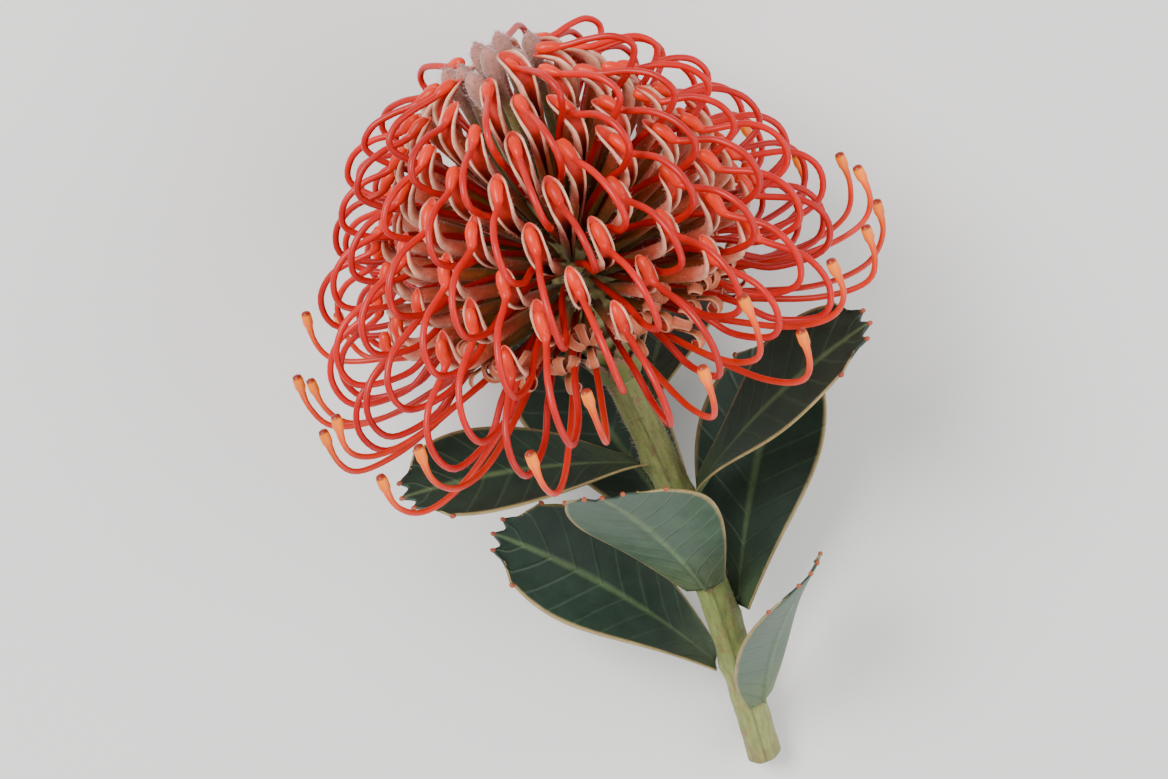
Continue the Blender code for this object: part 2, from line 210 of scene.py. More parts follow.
@dataclass(frozen=True)
class Seats:
    """Where the florets stand, worked out for all of them at once.

    Equal areas of the cone carry equal numbers of florets. Each stands a golden angle on from the last and leans
    further from the axis.
    """

    habit: Habit
    lie: Lie

    def height(self, index: Array | float) -> Array:
        """Height of the seats on the cone, for these florets counted from the tip."""
        share = (np.asarray(index, float) + 0.5) / self.habit.florets
        tip, base = self.habit.cone_tip_radius, self.habit.cone_base_radius
        from_tip = (np.sqrt(tip**2 + share * (base**2 - tip**2)) - tip) / (base - tip)
        return self.habit.cone_start + self.habit.cone_height * (1 - from_tip)

    def cone_radius(self, height: Array | float) -> Array:
        """The cone's radius at this height."""
        tip, base = self.habit.cone_tip_radius, self.habit.cone_base_radius
        share = np.clip((np.asarray(height) - self.habit.cone_start) / self.habit.cone_height, 0, 1)
        return base + (tip - base) * share

    def azimuth(self, index: Array | int) -> Array:
        """Azimuth of the florets, in radians."""
        return np.asarray(index) * math.radians(self.habit.golden_angle)

    def tilt(self, index: Array | int) -> Array:
        """Lean of the florets from the axis, in radians: the least plus a power of the share of florets."""
        share = (np.asarray(index) + 0.5) / self.habit.florets
        spread = self.habit.bottom_tilt - self.habit.top_tilt
        return np.radians(self.habit.top_tilt + spread * share**self.habit.tilt_power)

    def frame(self, index: int) -> tuple[Array, Array, Array, Array]:
        """The frame of one floret.

        Args:
            index: the floret, counted from the tip.

        Returns:
            Its seat, and the unit vectors along it, at right angles to it towards the stem, and sideways.
        """
        azimuth, tilt, height = self.azimuth(index), self.tilt(index), self.height(index)
        around, axis = self.lie.around(azimuth), self.lie.axis
        seat = self.lie.place(azimuth, self.cone_radius(height) + self.habit.seat_gap, height)
        along = around * math.sin(tilt) + axis * math.cos(tilt)
        out = around * math.cos(tilt) - axis * math.sin(tilt)
        return seat, along, out, self.lie.sideways(azimuth)

    def style_foot(self, index: int) -> Array:
        """Where a style leaves the cone: between two rows of sheaths."""
        habit = self.habit
        step_turn = habit.rows * math.radians(habit.golden_angle) - 10 * math.pi
        azimuth = self.azimuth(index) + math.pi / habit.rows + habit.style_seat_steps * step_turn
        height = self.height(index + habit.rows * habit.style_seat_steps)
        return self.lie.place(azimuth, self.cone_radius(height) + habit.style_seat_gap, height)


SEATS = Seats(HABIT, LIE)


# ---------------------------------------------------------------- surfaces


@dataclass
class Part:
    """One or more closed surfaces.

    Args:
        points: an array of points, in millimetres.
        quads: faces with four corners, as rows of indices.
        triangles: faces with three corners.
        growth: for each point its share of the way along the organ, its share of the way round or across it, and
            a chance number below 1, to which the inner side of a thin organ adds 1.
    """

    points: Array
    quads: Array
    triangles: Array
    growth: Array

    def facing_out(self) -> "Part":
        """The same part, its faces turned round if their signed volume is negative."""
        corners = np.vstack([self.triangles, self.quads[:, [0, 1, 2]], self.quads[:, [0, 2, 3]]])
        local = self.points - self.points.mean(axis=0)
        a, b, c = (local[corners[:, k]] for k in range(3))
        if np.einsum("ij,ij->", a, np.cross(b, c)) < 0:
            return Part(self.points, self.quads[:, ::-1], self.triangles[:, ::-1], self.growth)
        return self


def ring_quads(rows: int, columns: int) -> Array:
    """Faces between the rings of a grid whose columns close round: corner, next, next above, above."""
    row, column = np.meshgrid(np.arange(rows - 1), np.arange(columns), indexing="ij")
    here = row * columns + column
    following = row * columns + (column + 1) % columns
    return np.stack([here, following, following + columns, here + columns], axis=-1).reshape(-1, 4)


def tube(grid: Array, along: Array, luck: float) -> Part:
    """A closed tube: the rings of a grid, with a pole in the middle of each end ring.

    Args:
        grid: points as rings by points round each ring by 3.
        along: the share of the way along the organ, for each ring.
        luck: the organ's chance number.

    Returns:
        The part.
    """
    rows, columns = grid.shape[:2]
    points = np.vstack([grid.reshape(-1, 3), grid[0].mean(axis=0), grid[-1].mean(axis=0)])
    column = np.arange(columns)
    following = (column + 1) % columns
    first, last, end_ring = rows * columns, rows * columns + 1, (rows - 1) * columns
    start = np.stack([np.full(columns, first), following, column], axis=1)
    end = np.stack([np.full(columns, last), column + end_ring, following + end_ring], axis=1)
    round_share = np.tile(column / columns, rows)
    growth = np.stack([np.repeat(along, columns), round_share, np.full(rows * columns, luck)], axis=1)
    growth = np.vstack([growth, [along[0], 0.5, luck], [along[-1], 0.5, luck]])
    return Part(points, ring_quads(rows, columns), np.vstack([start, end]), growth).facing_out()


def plate(front: Array, back: Array, along: Array, luck: float) -> Part:
    """A thin closed body between two sheets, such as a leaf or an opened sheath.

    Args:
        front: the outer or upper sheet, as rows by columns by 3.
        back: the inner or lower sheet, the same size.
        along: the share of the way along the organ, for each row.
        luck: the organ's chance number.

    Returns:
        The part. Its back sheet has 1 added to the chance number.
    """
    rows, columns = front.shape[:2]
    rings = np.concatenate([front, back[:, ::-1]], axis=1)
    ring = 2 * columns
    column = np.arange(columns - 1)
    cap = np.stack([column, column + 1, ring - 2 - column, ring - 1 - column], axis=1)
    quads = np.vstack([ring_quads(rows, ring), cap[:, ::-1], cap + (rows - 1) * ring])
    share = np.linspace(0, 1, columns)
    across = np.tile(np.concatenate([share, share[::-1]]), rows)
    side = np.tile(np.repeat([luck, luck + 1], columns), rows)
    growth = np.stack([np.repeat(along, ring), across, side], axis=1)
    return Part(rings.reshape(-1, 3), quads, np.empty((0, 3), int), growth).facing_out()


def spikes(roots: Array, ways: Array, lengths: Array, radius: float, luck: Array) -> Part:
    """Hairs, each a slim three-sided pyramid: three corners round the root and one at the tip.

    Args:
        roots: where the hairs stand.
        ways: unit vectors along them.
        lengths: their lengths.
        radius: their radius at the root.
        luck: a chance number for each.

    Returns:
        All of them as one part.
    """
    helper = np.where(np.abs(ways[:, [2]]) < 0.8, [[0.0, 0.0, 1.0]], [[1.0, 0.0, 0.0]])
    first = unit(np.cross(ways, helper))
    second = np.cross(ways, first)
    angles = np.arange(3) * 2 * math.pi / 3
    ring = first[:, None] * np.cos(angles)[:, None] + second[:, None] * np.sin(angles)[:, None]
    feet = (roots - ways * radius)[:, None] + ring * radius
    tips = roots + ways * lengths[:, None]
    points = np.concatenate([feet, tips[:, None]], axis=1).reshape(-1, 3)
    corner = np.array([[0, 1, 3], [1, 2, 3], [2, 0, 3], [2, 1, 0]])
    triangles = (corner[None] + 4 * np.arange(len(roots))[:, None, None]).reshape(-1, 3)
    along = np.tile([0.0, 0.0, 0.0, 1.0], len(roots))
    growth = np.stack([along, np.zeros_like(along), np.repeat(luck, 4)], axis=1)
    return Part(points, np.empty((0, 4), int), triangles, growth).facing_out()


@dataclass
class Skin:
    """Gathers the parts of one piece, each with the finish it wears."""

    parts: list[Part] = field(default_factory=list)
    finishes: list[int] = field(default_factory=list)

    def add(self, part: Part, finish: int = 0) -> None:
        """Adds a part that wears the finish of this number."""
        self.parts.append(part)
        self.finishes.append(finish)

    def to_piece(self, name: str, materials: Sequence[bpy.types.Material], node: str, slot: str) -> None:
        """Makes the object, gives it its body, and hides the node of the solid model that it stands for.

        Args:
            name: the piece's name.
            materials: its finishes, in the order of their numbers.
            node: the node of the solid model that it stands for.
            slot: not used.
        """
        starts = np.cumsum([0] + [len(p.points) for p in self.parts[:-1]])
        quads = np.vstack([p.quads + s for p, s in zip(self.parts, starts)]).astype(np.int32)
        triangles = np.vstack([p.triangles + s for p, s in zip(self.parts, starts)]).astype(np.int32)
        wearing = np.concatenate(
            [np.full(len(p.quads), k) for p, k in zip(self.parts, self.finishes)]
            + [np.full(len(p.triangles), k) for p, k in zip(self.parts, self.finishes)]
        ).astype(np.int32)
        points = np.vstack([p.points for p in self.parts]) * MM
        growth = np.vstack([p.growth for p in self.parts])
        corners = np.concatenate([quads.ravel(), triangles.ravel()])
        first = np.concatenate([np.arange(len(quads)) * 4, len(quads) * 4 + np.arange(len(triangles)) * 3])
        mesh = bpy.data.meshes.new(name)
        mesh.vertices.add(len(points))
        mesh.vertices.foreach_set("co", points.astype(np.float32).ravel())
        mesh.loops.add(len(corners))
        mesh.loops.foreach_set("vertex_index", corners)
        mesh.polygons.add(len(first))
        mesh.polygons.foreach_set("loop_start", first.astype(np.int32))
        mesh.polygons.foreach_set("material_index", wearing)
        mesh.update(calc_edges=True)
        mesh.shade_smooth()
        mesh.attributes.new(GROWTH, "FLOAT_VECTOR", "POINT")
        mesh.attributes[GROWTH].data.foreach_set("vector", growth.astype(np.float32).ravel())
        for material in materials:
            mesh.materials.append(material)
        piece = bpy.data.objects.new(name, mesh)
        bpy.context.scene.collection.objects.link(piece)
        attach(piece, "root")
        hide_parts(node)
        LOG.info("%s: %d faces, %d finishes", name, len(first), len(materials))


def smooth_path(corners: Array, count: int) -> Array:
    """A smooth curve through corners, with its points at even lengths.

    Between two corners the curve is the Catmull-Rom cubic: half of
    2p1 + (p2 - p0)t + (2p0 - 5p1 + 4p2 - p3)t^2 + (3p1 - p0 - 3p2 + p3)t^3.

    Args:
        corners: the corners, in order.
        count: the number of points.

    Returns:
        The points.
    """
    corners = np.asarray(corners, float)
    padded = np.vstack([2 * corners[0] - corners[1], corners, 2 * corners[-1] - corners[-2]])
    p0, p1, p2, p3 = (padded[k : len(padded) - 3 + k, None] for k in range(4))
    t = np.linspace(0, 1, 16, endpoint=False)[:, None]
    cubic = 0.5 * (2 * p1 + (p2 - p0) * t + (2 * p0 - 5 * p1 + 4 * p2 - p3) * t**2
                   + (3 * p1 - p0 - 3 * p2 + p3) * t**3)
    fine = np.vstack([cubic.reshape(-1, corners.shape[1]), corners[-1]])
    length = np.concatenate([[0.0], np.cumsum(np.linalg.norm(np.diff(fine, axis=0), axis=1))])
    wanted = np.linspace(0, length[-1], count)
    return np.stack([np.interp(wanted, length, fine[:, k]) for k in range(corners.shape[1])], axis=1)


def placed(path: Array, share: Array) -> Array:
    """Points of a fine, evenly spaced path at these shares of its length."""
    even = np.linspace(0, 1, len(path))
    return np.stack([np.interp(share, even, path[:, k]) for k in range(3)], axis=1)


def profile(stops: Stops, share: Array) -> Array:
    """Values at these shares, on smooth steps between stops of (share, value)."""
    at, value = np.array(stops, float).T
    place = np.clip(np.searchsorted(at, share, side="right") - 1, 0, len(at) - 2)
    t = np.clip((share - at[place]) / (at[place + 1] - at[place]), 0, 1)
    t = t * t * (3 - 2 * t)
    return value[place] + (value[place + 1] - value[place]) * t


def frames_along(path: Array, side: Array) -> tuple[Array, Array, Array]:
    """The tangent, depth and width directions along a path whose width points roughly along side."""
    tangent = unit(np.gradient(path, axis=0))
    wide = unit(side - tangent * (tangent @ side)[:, None])
    return tangent, np.cross(tangent, wide), wide


def round_tube(path: Array, side: Array, deep: Array, wide: Array, columns: int, luck: float) -> Part:
    """A tube of oval rings: centre + depth direction times cos + width direction times sin.

    Args:
        path: the centreline.
        side: the direction of the tube's width.
        deep: half its depth at each point of the path.
        wide: half its width there.
        columns: points in a ring.
        luck: its chance number.

    Returns:
        The part.
    """
    _, depth, width = frames_along(path, side)
    angle = np.arange(columns) * 2 * math.pi / columns
    grid = (path[:, None] + depth[:, None] * (deep[:, None] * np.cos(angle))[..., None]
            + width[:, None] * (wide[:, None] * np.sin(angle))[..., None])
    return tube(grid, np.linspace(0, 1, len(path)), luck)


# ---------------------------------------------------------------- finishes


def srgb(code: str) -> tuple[float, float, float, float]:
    """A hex colour as linear light: ((c + 0.055) / 1.055)^2.4, or c / 12.92 below 0.04045."""
    parts = [int(code[k : k + 2], 16) / 255 for k in (1, 3, 5)]
    return (*[c / 12.92 if c <= 0.04045 else ((c + 0.055) / 1.055) ** 2.4 for c in parts], 1.0)


def add(tree: bpy.types.NodeTree, kind: str, settings: dict | None = None,
        links: dict | None = None) -> bpy.types.Node:
    """Adds one node to a material.

    Args:
        tree: the material's nodes.
        kind: the node's type, without the leading ShaderNode.
        settings: values by input name or number, or by the name of a property of the node.
        links: output sockets by input name or number.

    Returns:
        The node.
    """
    node = tree.nodes.new("ShaderNode" + kind)
    for key, value in (settings or {}).items():
        if not isinstance(key, int) and hasattr(node, key):
            setattr(node, key, value)
    for key, value in (settings or {}).items():
        if isinstance(key, int) or not hasattr(node, key):
            node.inputs[key].default_value = value
    for key, output in (links or {}).items():
        tree.links.new(output, node.inputs[key])
    return node


def ramp(tree: bpy.types.NodeTree, factor: bpy.types.NodeSocket, stops: Shades) -> bpy.types.NodeSocket:
    """A colour ramp over a factor, with hex colours at its stops."""
    node = add(tree, "ValToRGB", links={"Fac": factor})
    elements = node.color_ramp.elements
    for extra in range(len(stops) - 2):
        elements.new(0.5 + extra * 0.001)
    for element, (place, colour) in zip(elements, stops):
        element.position = place
        element.color = srgb(colour)
    return node.outputs["Color"]


class Canvas:
    """A new material with the places that a finish can follow: growth along, round and by chance, and space."""

    def __init__(self, name: str) -> None:
        """Makes the material and adds the nodes that read the places."""
        self.material = bpy.data.materials.new(name)
        self.material.use_nodes = True
        self.tree = tree = self.material.node_tree
        self.shader = tree.nodes["Principled BSDF"]
        growth = add(tree, "Attribute", {"attribute_name": GROWTH})
        split = add(tree, "SeparateXYZ", links={"Vector": growth.outputs["Vector"]})
        self.along, self.round, chance = split.outputs
        self.back = add(tree, "Math", {"operation": "GREATER_THAN", 1: 0.9995}, {0: chance}).outputs[0]
        self.luck = add(tree, "Math", {"operation": "FRACT"}, {0: chance}).outputs[0]
        self.space = add(tree, "TexCoord").outputs["Object"]

    def paint(self, colour: bpy.types.NodeSocket, value: bpy.types.NodeSocket) -> None:
        """Gives the shader this colour, as light as this value makes it."""
        final = add(self.tree, "HueSaturation", links={"Value": value, "Color": colour})
        self.tree.links.new(final.outputs["Color"], self.shader.inputs["Base Color"])

    def emboss(self, height: bpy.types.NodeSocket, depth_mm: float) -> None:
        """Gives the shader a relief of this depth."""
        bump = add(self.tree, "Bump", {"Distance": depth_mm * MM}, {"Height": height})
        self.tree.links.new(bump.outputs["Normal"], self.shader.inputs["Normal"])


@dataclass(frozen=True)
class Tissue:
    """A living tissue whose colour runs along the organ.

    Args:
        name: the material's name.
        stops: colours by their share of the way along the organ.
        back: colours of the inner side, if they differ.
        rim: colour of the two edges of an opened organ, if they differ.
        rim_from: the share of the way along from which the edges begin to take that colour.
        rim_to: the share from which they begin to lose it again.
        roughness: of the surface.
        mottle: how far its brightness varies, from 0 to 1.
        mottle_mm: size of the patches.
        bump_mm: depth of its relief.
        relief_mm: size of its relief.
        sheen: strength of its down.
        luck: how far one organ's brightness differs from the next one's.
        gloss: strength of its waxy coat.
        shine: strength of its own reflection, 0.5 being that of most tissues.
    """

    name: str
    stops: Shades
    back: Shades = ()
    rim: str = ""
    rim_from: float = 0.0
    rim_to: float = 1.0
    roughness: float = 0.5
    mottle: float = 0.2
    mottle_mm: float = 2.0
    bump_mm: float = 0.05
    relief_mm: float = 0.5
    sheen: float = 0.0
    luck: float = 0.15
    gloss: float = 0.0
    shine: float = 0.5

    def build(self) -> bpy.types.Material:
        """Makes the material."""
        at = Canvas(self.name)
        tree, shader = at.tree, at.shader
        colour = ramp(tree, at.along, self.stops)
        if self.back:
            inner = ramp(tree, at.along, self.back)
            colour = add(tree, "Mix", {"data_type": "RGBA"}, {0: at.back, 6: colour, 7: inner}).outputs[2]
        if self.rim:
            centred = add(tree, "Math", {"operation": "SUBTRACT", 1: 0.5}, {0: at.round}).outputs[0]
            edge = add(tree, "Math", {"operation": "ABSOLUTE"}, {0: centred}).outputs[0]
            settings = {"From Min": 0.3, "From Max": 0.48, "To Max": 0.9}
            across = add(tree, "MapRange", settings, {"Value": edge}).outputs[0]
            settings = {"From Min": self.rim_from - 0.01, "From Max": self.rim_from + 0.15}
            ahead = add(tree, "MapRange", settings, {"Value": at.along}).outputs[0]
            settings = {"From Min": self.rim_to, "From Max": self.rim_to + 0.05, "To Min": 1.0, "To Max": 0.15}
            behind = add(tree, "MapRange", settings, {"Value": at.along}).outputs[0]
            reach = add(tree, "Math", {"operation": "MULTIPLY"}, {0: ahead, 1: behind}).outputs[0]
            mask = add(tree, "Math", {"operation": "MULTIPLY"}, {0: across, 1: reach}).outputs[0]
            settings = {"data_type": "RGBA", 7: srgb(self.rim)}
            colour = add(tree, "Mix", settings, {0: mask, 6: colour}).outputs[2]
        settings = {"Scale": 1 / (self.mottle_mm * MM), "Detail": 3.0}
        patches = add(tree, "TexNoise", settings, {"Vector": at.space}).outputs[0]
        settings = {"From Min": 0.3, "From Max": 0.7, "To Min": 1 - self.mottle, "To Max": 1 + self.mottle}
        light = add(tree, "MapRange", settings, {"Value": patches}).outputs[0]
        settings = {"To Min": 1 - self.luck, "To Max": 1 + self.luck}
        own = add(tree, "MapRange", settings, {"Value": at.luck}).outputs[0]
        at.paint(colour, add(tree, "Math", {"operation": "MULTIPLY"}, {0: light, 1: own}).outputs[0])
        settings = {"Scale": 1 / (self.relief_mm * MM), "Detail": 2.0}
        at.emboss(add(tree, "TexNoise", settings, {"Vector": at.space}).outputs[0], self.bump_mm)
        shader.inputs["Roughness"].default_value = self.roughness
        shader.inputs["Sheen Weight"].default_value = self.sheen
        shader.inputs["Sheen Roughness"].default_value = 0.5
        shader.inputs["Specular IOR Level"].default_value = self.shine
        shader.inputs["Coat Weight"].default_value = self.gloss
        shader.inputs["Coat Roughness"].default_value = 0.25
        return at.material


class Finish(Enum):
    """The tissues of the flower. Colours are those of fresh material in daylight."""

    # A waxy thread, coral red, a little pinker near its foot: soft long highlights.
    LOOPED_STYLE = Tissue(
        "waxy looped style",
        ((0.0, "#98281a"), (0.25, "#b0120a"), (0.7, "#c00e06"), (0.9, "#cc1404"), (0.94, "#e42802"), (1.0, "#f03600")),
        roughness=0.4, mottle=0.08, mottle_mm=4.0, bump_mm=0.02, relief_mm=0.4, luck=0.16, gloss=0.08,
        shine=0.35)
    # The same wax on a style that has sprung free, turned orange, with its club of orange-yellow pollen.
    OPEN_STYLE = Tissue(
        "waxy open style",
        ((0.0, "#98281a"), (0.3, "#b41606"), (0.85, "#cc2602"), (0.925, "#e85202"), (0.945, "#f86a02"),
         (0.985, "#ff8404"), (0.993, "#902204")),
        roughness=0.4, mottle=0.08, mottle_mm=4.0, bump_mm=0.02, relief_mm=0.4, luck=0.10, gloss=0.08,
        shine=0.35)
    # A downy sheath, olive at its foot, dusty pink above and red at its tip, with cream rims: matt.
    SHEATH = Tissue(
        "downy perianth sheath",
        ((0.0, "#5e4c14"), (0.3, "#7a5416"), (0.5, "#96441c"), (0.66, "#bc4e34"), (0.8, "#d8886e"),
         (0.87, "#d06a50"), (0.93, "#d02c10"), (1.0, "#d82606")),
        back=((0.0, "#5a2410"), (0.55, "#8a240e"), (0.75, "#b0200c"), (1.0, "#cc2206")),
        rim="#f0bc9c", rim_from=0.6, rim_to=0.93,
        roughness=0.62, mottle=0.2, mottle_mm=1.5, bump_mm=0.08, relief_mm=0.35, sheen=0.08, shine=0.35)
    # The rolled-back lobes of an open floret, cream pink outside and coral inside.
    RIBBON = Tissue(
        "rolled perianth lobe", ((0.0, "#8a6428"), (0.4, "#bc6440"), (1.0, "#cc6c4c")),
        back=((0.0, "#a04424"), (1.0, "#c03c22")), rim="#e8a684",
        roughness=0.65, mottle=0.14, mottle_mm=1.5, bump_mm=0.06, relief_mm=0.35, sheen=0.1, shine=0.35)
    # The closed buds in the middle of the head: olive tubes and heads under grey-pink felt.
    BUD = Tissue(
        "felted young bud", ((0.0, "#6c6424"), (0.55, "#7c7034"), (0.75, "#9a6c5a"), (1.0, "#ac7468")),
        roughness=0.85, mottle=0.2, mottle_mm=1.2, bump_mm=0.12, relief_mm=0.3, sheen=0.6)
    # Fine hairs that catch the light.
    DOWN = Tissue(
        "pale floret down", ((0.0, "#b88474"), (1.0, "#e6cabc")),
        roughness=0.6, mottle=0.05, bump_mm=0.0, sheen=0.2)
    # Longer hairs of the stem and the bracts, whitish to rusty.
    WOOL = Tissue(
        "stem wool", ((0.0, "#a58468"), (1.0, "#dccdbd")),
        roughness=0.7, mottle=0.1, bump_mm=0.0, sheen=0.2, luck=0.35)
    # A tough bract, green in the middle, with a dry pinkish brown edge.
    BRACT = Tissue(
        "leathery bract", ((0.0, "#6c7a35"), (0.5, "#7d8440"), (0.85, "#9a7a55"), (1.0, "#8c5648")),
        back=((0.0, "#77803f"), (1.0, "#8a7a50")), rim="#a8705c",
        roughness=0.6, mottle=0.2, mottle_mm=2.5, bump_mm=0.08, relief_mm=0.6, sheen=0.2)
    # The gland on a leaf's tooth, a hard dull red point.
    GLAND = Tissue(
        "leaf gland", ((0.0, "#8a3a22"), (1.0, "#a5502c")), roughness=0.4, mottle=0.1, bump_mm=0.02)
    # The cone under the florets, pale and woolly.
    CONE = Tissue(
        "woolly receptacle", ((0.0, "#a59a62"), (1.0, "#b5aa74")),
        roughness=0.9, mottle=0.25, mottle_mm=1.5, bump_mm=0.3, relief_mm=0.8, sheen=0.4)


@dataclass(frozen=True)
class LeafSurface:
    """A leathery leaf: dull blue-green above, paler below, with sunk side veins and a thin hard margin.

    The side veins are lines of equal (share along times their number, less a slope times the share across).
    """

    name: str = "leathery protea leaf"
    upper: Shades = ((0.0, "#435636"), (0.25, "#24382a"), (1.0, "#1e3226"))
    lower: Shades = ((0.0, "#55663f"), (0.3, "#3c5440"), (1.0, "#364e3c"))
    vein_colour: str = "#62784e"
    margin_colour: str = "#a08a58"
    veins: float = 9.0
    slope: float = 1.6
    patch_mm: float = 5.0
    grain_mm: float = 0.7

    def build(self) -> bpy.types.Material:
        """Makes the material."""
        at = Canvas(self.name)
        tree, shader = at.tree, at.shader
        upper, lower = ramp(tree, at.along, self.upper), ramp(tree, at.along, self.lower)
        colour = add(tree, "Mix", {"data_type": "RGBA"}, {0: at.back, 6: upper, 7: lower}).outputs[2]
        centred = add(tree, "Math", {"operation": "SUBTRACT", 1: 0.5}, {0: at.round}).outputs[0]
        half = add(tree, "Math", {"operation": "ABSOLUTE"}, {0: centred}).outputs[0]
        edge = add(tree, "Math", {"operation": "MULTIPLY", 1: 2.0}, {0: half}).outputs[0]
        sloping = add(tree, "Math", {"operation": "MULTIPLY", 1: self.slope}, {0: edge}).outputs[0]
        counted = add(tree, "Math", {"operation": "MULTIPLY", 1: self.veins}, {0: at.along}).outputs[0]
        phase = add(tree, "Math", {"operation": "SUBTRACT"}, {0: counted, 1: sloping}).outputs[0]
        saw = add(tree, "Math", {"operation": "FRACT"}, {0: phase}).outputs[0]
        off = add(tree, "Math", {"operation": "SUBTRACT", 1: 0.5}, {0: saw}).outputs[0]
        near = add(tree, "Math", {"operation": "ABSOLUTE"}, {0: off}).outputs[0]
        vein = add(tree, "MapRange", {"From Min": 0.40, "From Max": 0.5}, {"Value": near}).outputs[0]
        midrib = add(tree, "MapRange", {"From Min": 0.02, "From Max": 0.09, "To Min": 1.0, "To Max": 0.0},
                     {"Value": edge}).outputs[0]
        margin = add(tree, "MapRange", {"From Min": 0.93, "From Max": 0.985}, {"Value": edge}).outputs[0]
        for mask, strength, code in ((vein, 0.14, self.vein_colour), (midrib, 0.6, self.vein_colour),
                                     (margin, 0.85, self.margin_colour)):
            weight = add(tree, "Math", {"operation": "MULTIPLY", 1: strength}, {0: mask}).outputs[0]
            settings = {"data_type": "RGBA", 7: srgb(code)}
            colour = add(tree, "Mix", settings, {0: weight, 6: colour}).outputs[2]
        settings = {"Scale": 1 / (self.patch_mm * MM), "Detail": 6.0, "Roughness": 0.65}
        patches = add(tree, "TexNoise", settings, {"Vector": at.space}).outputs[0]
        settings = {"From Min": 0.3, "From Max": 0.7, "To Min": 0.75, "To Max": 1.3}
        at.paint(colour, add(tree, "MapRange", settings, {"Value": patches}).outputs[0])
        settings = {"Scale": 1 / (self.grain_mm * MM), "Detail": 3.0}
        grain = add(tree, "TexNoise", settings, {"Vector": at.space}).outputs[0]
        raised = add(tree, "Math", {"operation": "MULTIPLY_ADD", 1: 0.25}, {0: grain, 2: vein}).outputs[0]
        at.emboss(raised, 0.14)
        gloss = add(tree, "MapRange", {"To Min": 0.42, "To Max": 0.6}, {"Value": patches}).outputs[0]
        tree.links.new(gloss, shader.inputs["Roughness"])
        return at.material


@dataclass(frozen=True)
class Bark:
    """The skin of a green woody stem: fibres run along it, and rusty patches of old hair cross them.

    The first half of its share along is the skin from the head down, and the second half the cut face from its
    edge to its pith.
    """

    name: str = "green woody stem"
    stops: Shades = (
        (0.0, "#8d7f5c"), (0.06, "#8c9054"), (0.3, "#8a9650"), (0.49, "#7f8346"), (0.51, "#71703c"),
        (0.58, "#a8ad68"), (0.8, "#d9d2a2"), (1.0, "#e9e0c2"))
    patch_colour: str = "#8a5440"
    patch_mm: float = 3.5

    def build(self) -> bpy.types.Material:
        """Makes the material."""
        at = Canvas(self.name)
        tree, shader = at.tree, at.shader
        colour = ramp(tree, at.along, self.stops)
        settings = {"Scale": 1 / (self.patch_mm * MM), "Detail": 5.0, "Roughness": 0.7}
        spots = add(tree, "TexNoise", settings, {"Vector": at.space}).outputs[0]
        settings = {"From Min": 0.52, "From Max": 0.66, "To Max": 0.7}
        rusty = add(tree, "MapRange", settings, {"Value": spots}).outputs[0]
        skin = add(tree, "Math", {"operation": "LESS_THAN", 1: 0.5}, {0: at.along}).outputs[0]
        mask = add(tree, "Math", {"operation": "MULTIPLY"}, {0: rusty, 1: skin}).outputs[0]
        settings = {"data_type": "RGBA", 7: srgb(self.patch_colour)}
        colour = add(tree, "Mix", settings, {0: mask, 6: colour}).outputs[2]
        down = add(tree, "Math", {"operation": "MULTIPLY", 1: 60.0}, {0: at.along}).outputs[0]
        turn = add(tree, "Math", {"operation": "MULTIPLY", 1: 22.0}, {0: at.round}).outputs[0]
        place = add(tree, "CombineXYZ", links={0: down, 1: turn}).outputs[0]
        fibre = add(tree, "TexNoise", {"Scale": 1.0, "Detail": 3.0}, {"Vector": place}).outputs[0]
        settings = {"From Min": 0.3, "From Max": 0.7, "To Min": 0.78, "To Max": 1.2}
        at.paint(colour, add(tree, "MapRange", settings, {"Value": fibre}).outputs[0])
        at.emboss(fibre, 0.25)
        shader.inputs["Roughness"].default_value = 0.65
        shader.inputs["Sheen Weight"].default_value = 0.15
        return at.material


# ---------------------------------------------------------------- organs


def in_floret(index: int, corners: Iterable[tuple[float, float]], foot: Array | None = None) -> Array:
    """Corners given along a floret and out from it, as points of the scene.

    Args:
        index: the floret.
        corners: pairs of distances, in millimetres.
        foot: a point that takes the first corner's place.

    Returns:
        The points.
    """
    seat, along, out, _ = SEATS.frame(index)
    pairs = np.array(list(corners), float)
    points = seat + pairs[:, :1] * along + pairs[:, 1:] * out
    if foot is not None:
        points[0] = foot
    return points


def hairs_on(grid: Array, path: Array, rows: slice, count: int, reach: tuple[float, float], radius: float,
             rng: np.random.Generator) -> Part:
    """Hairs on a swept grid, which stand outwards from its centreline and lean towards its tip.

    Args:
        grid: the surface they stand on.
        path: its centreline, a point for each row.
        rows: the rows that carry hairs.
        count: how many.
        reach: their least and greatest length, in millimetres.
        radius: their radius, in millimetres, about twice that of real hairs so that they show.
        rng: the source of chance.

    Returns:
        The hairs.
    """
    row = rng.integers(*rows.indices(len(grid))[:2], count)
    column = rng.integers(0, grid.shape[1], count)
    roots = grid[row, column]
    outward = unit(roots - path[row] + 1e-6)
    ahead = unit(np.gradient(path, axis=0))[row]
    ways = unit(outward + 0.5 * ahead + 0.45 * rng.standard_normal((count, 3)))
    return spikes(roots, ways, rng.uniform(*reach, count), radius, rng.random(count))


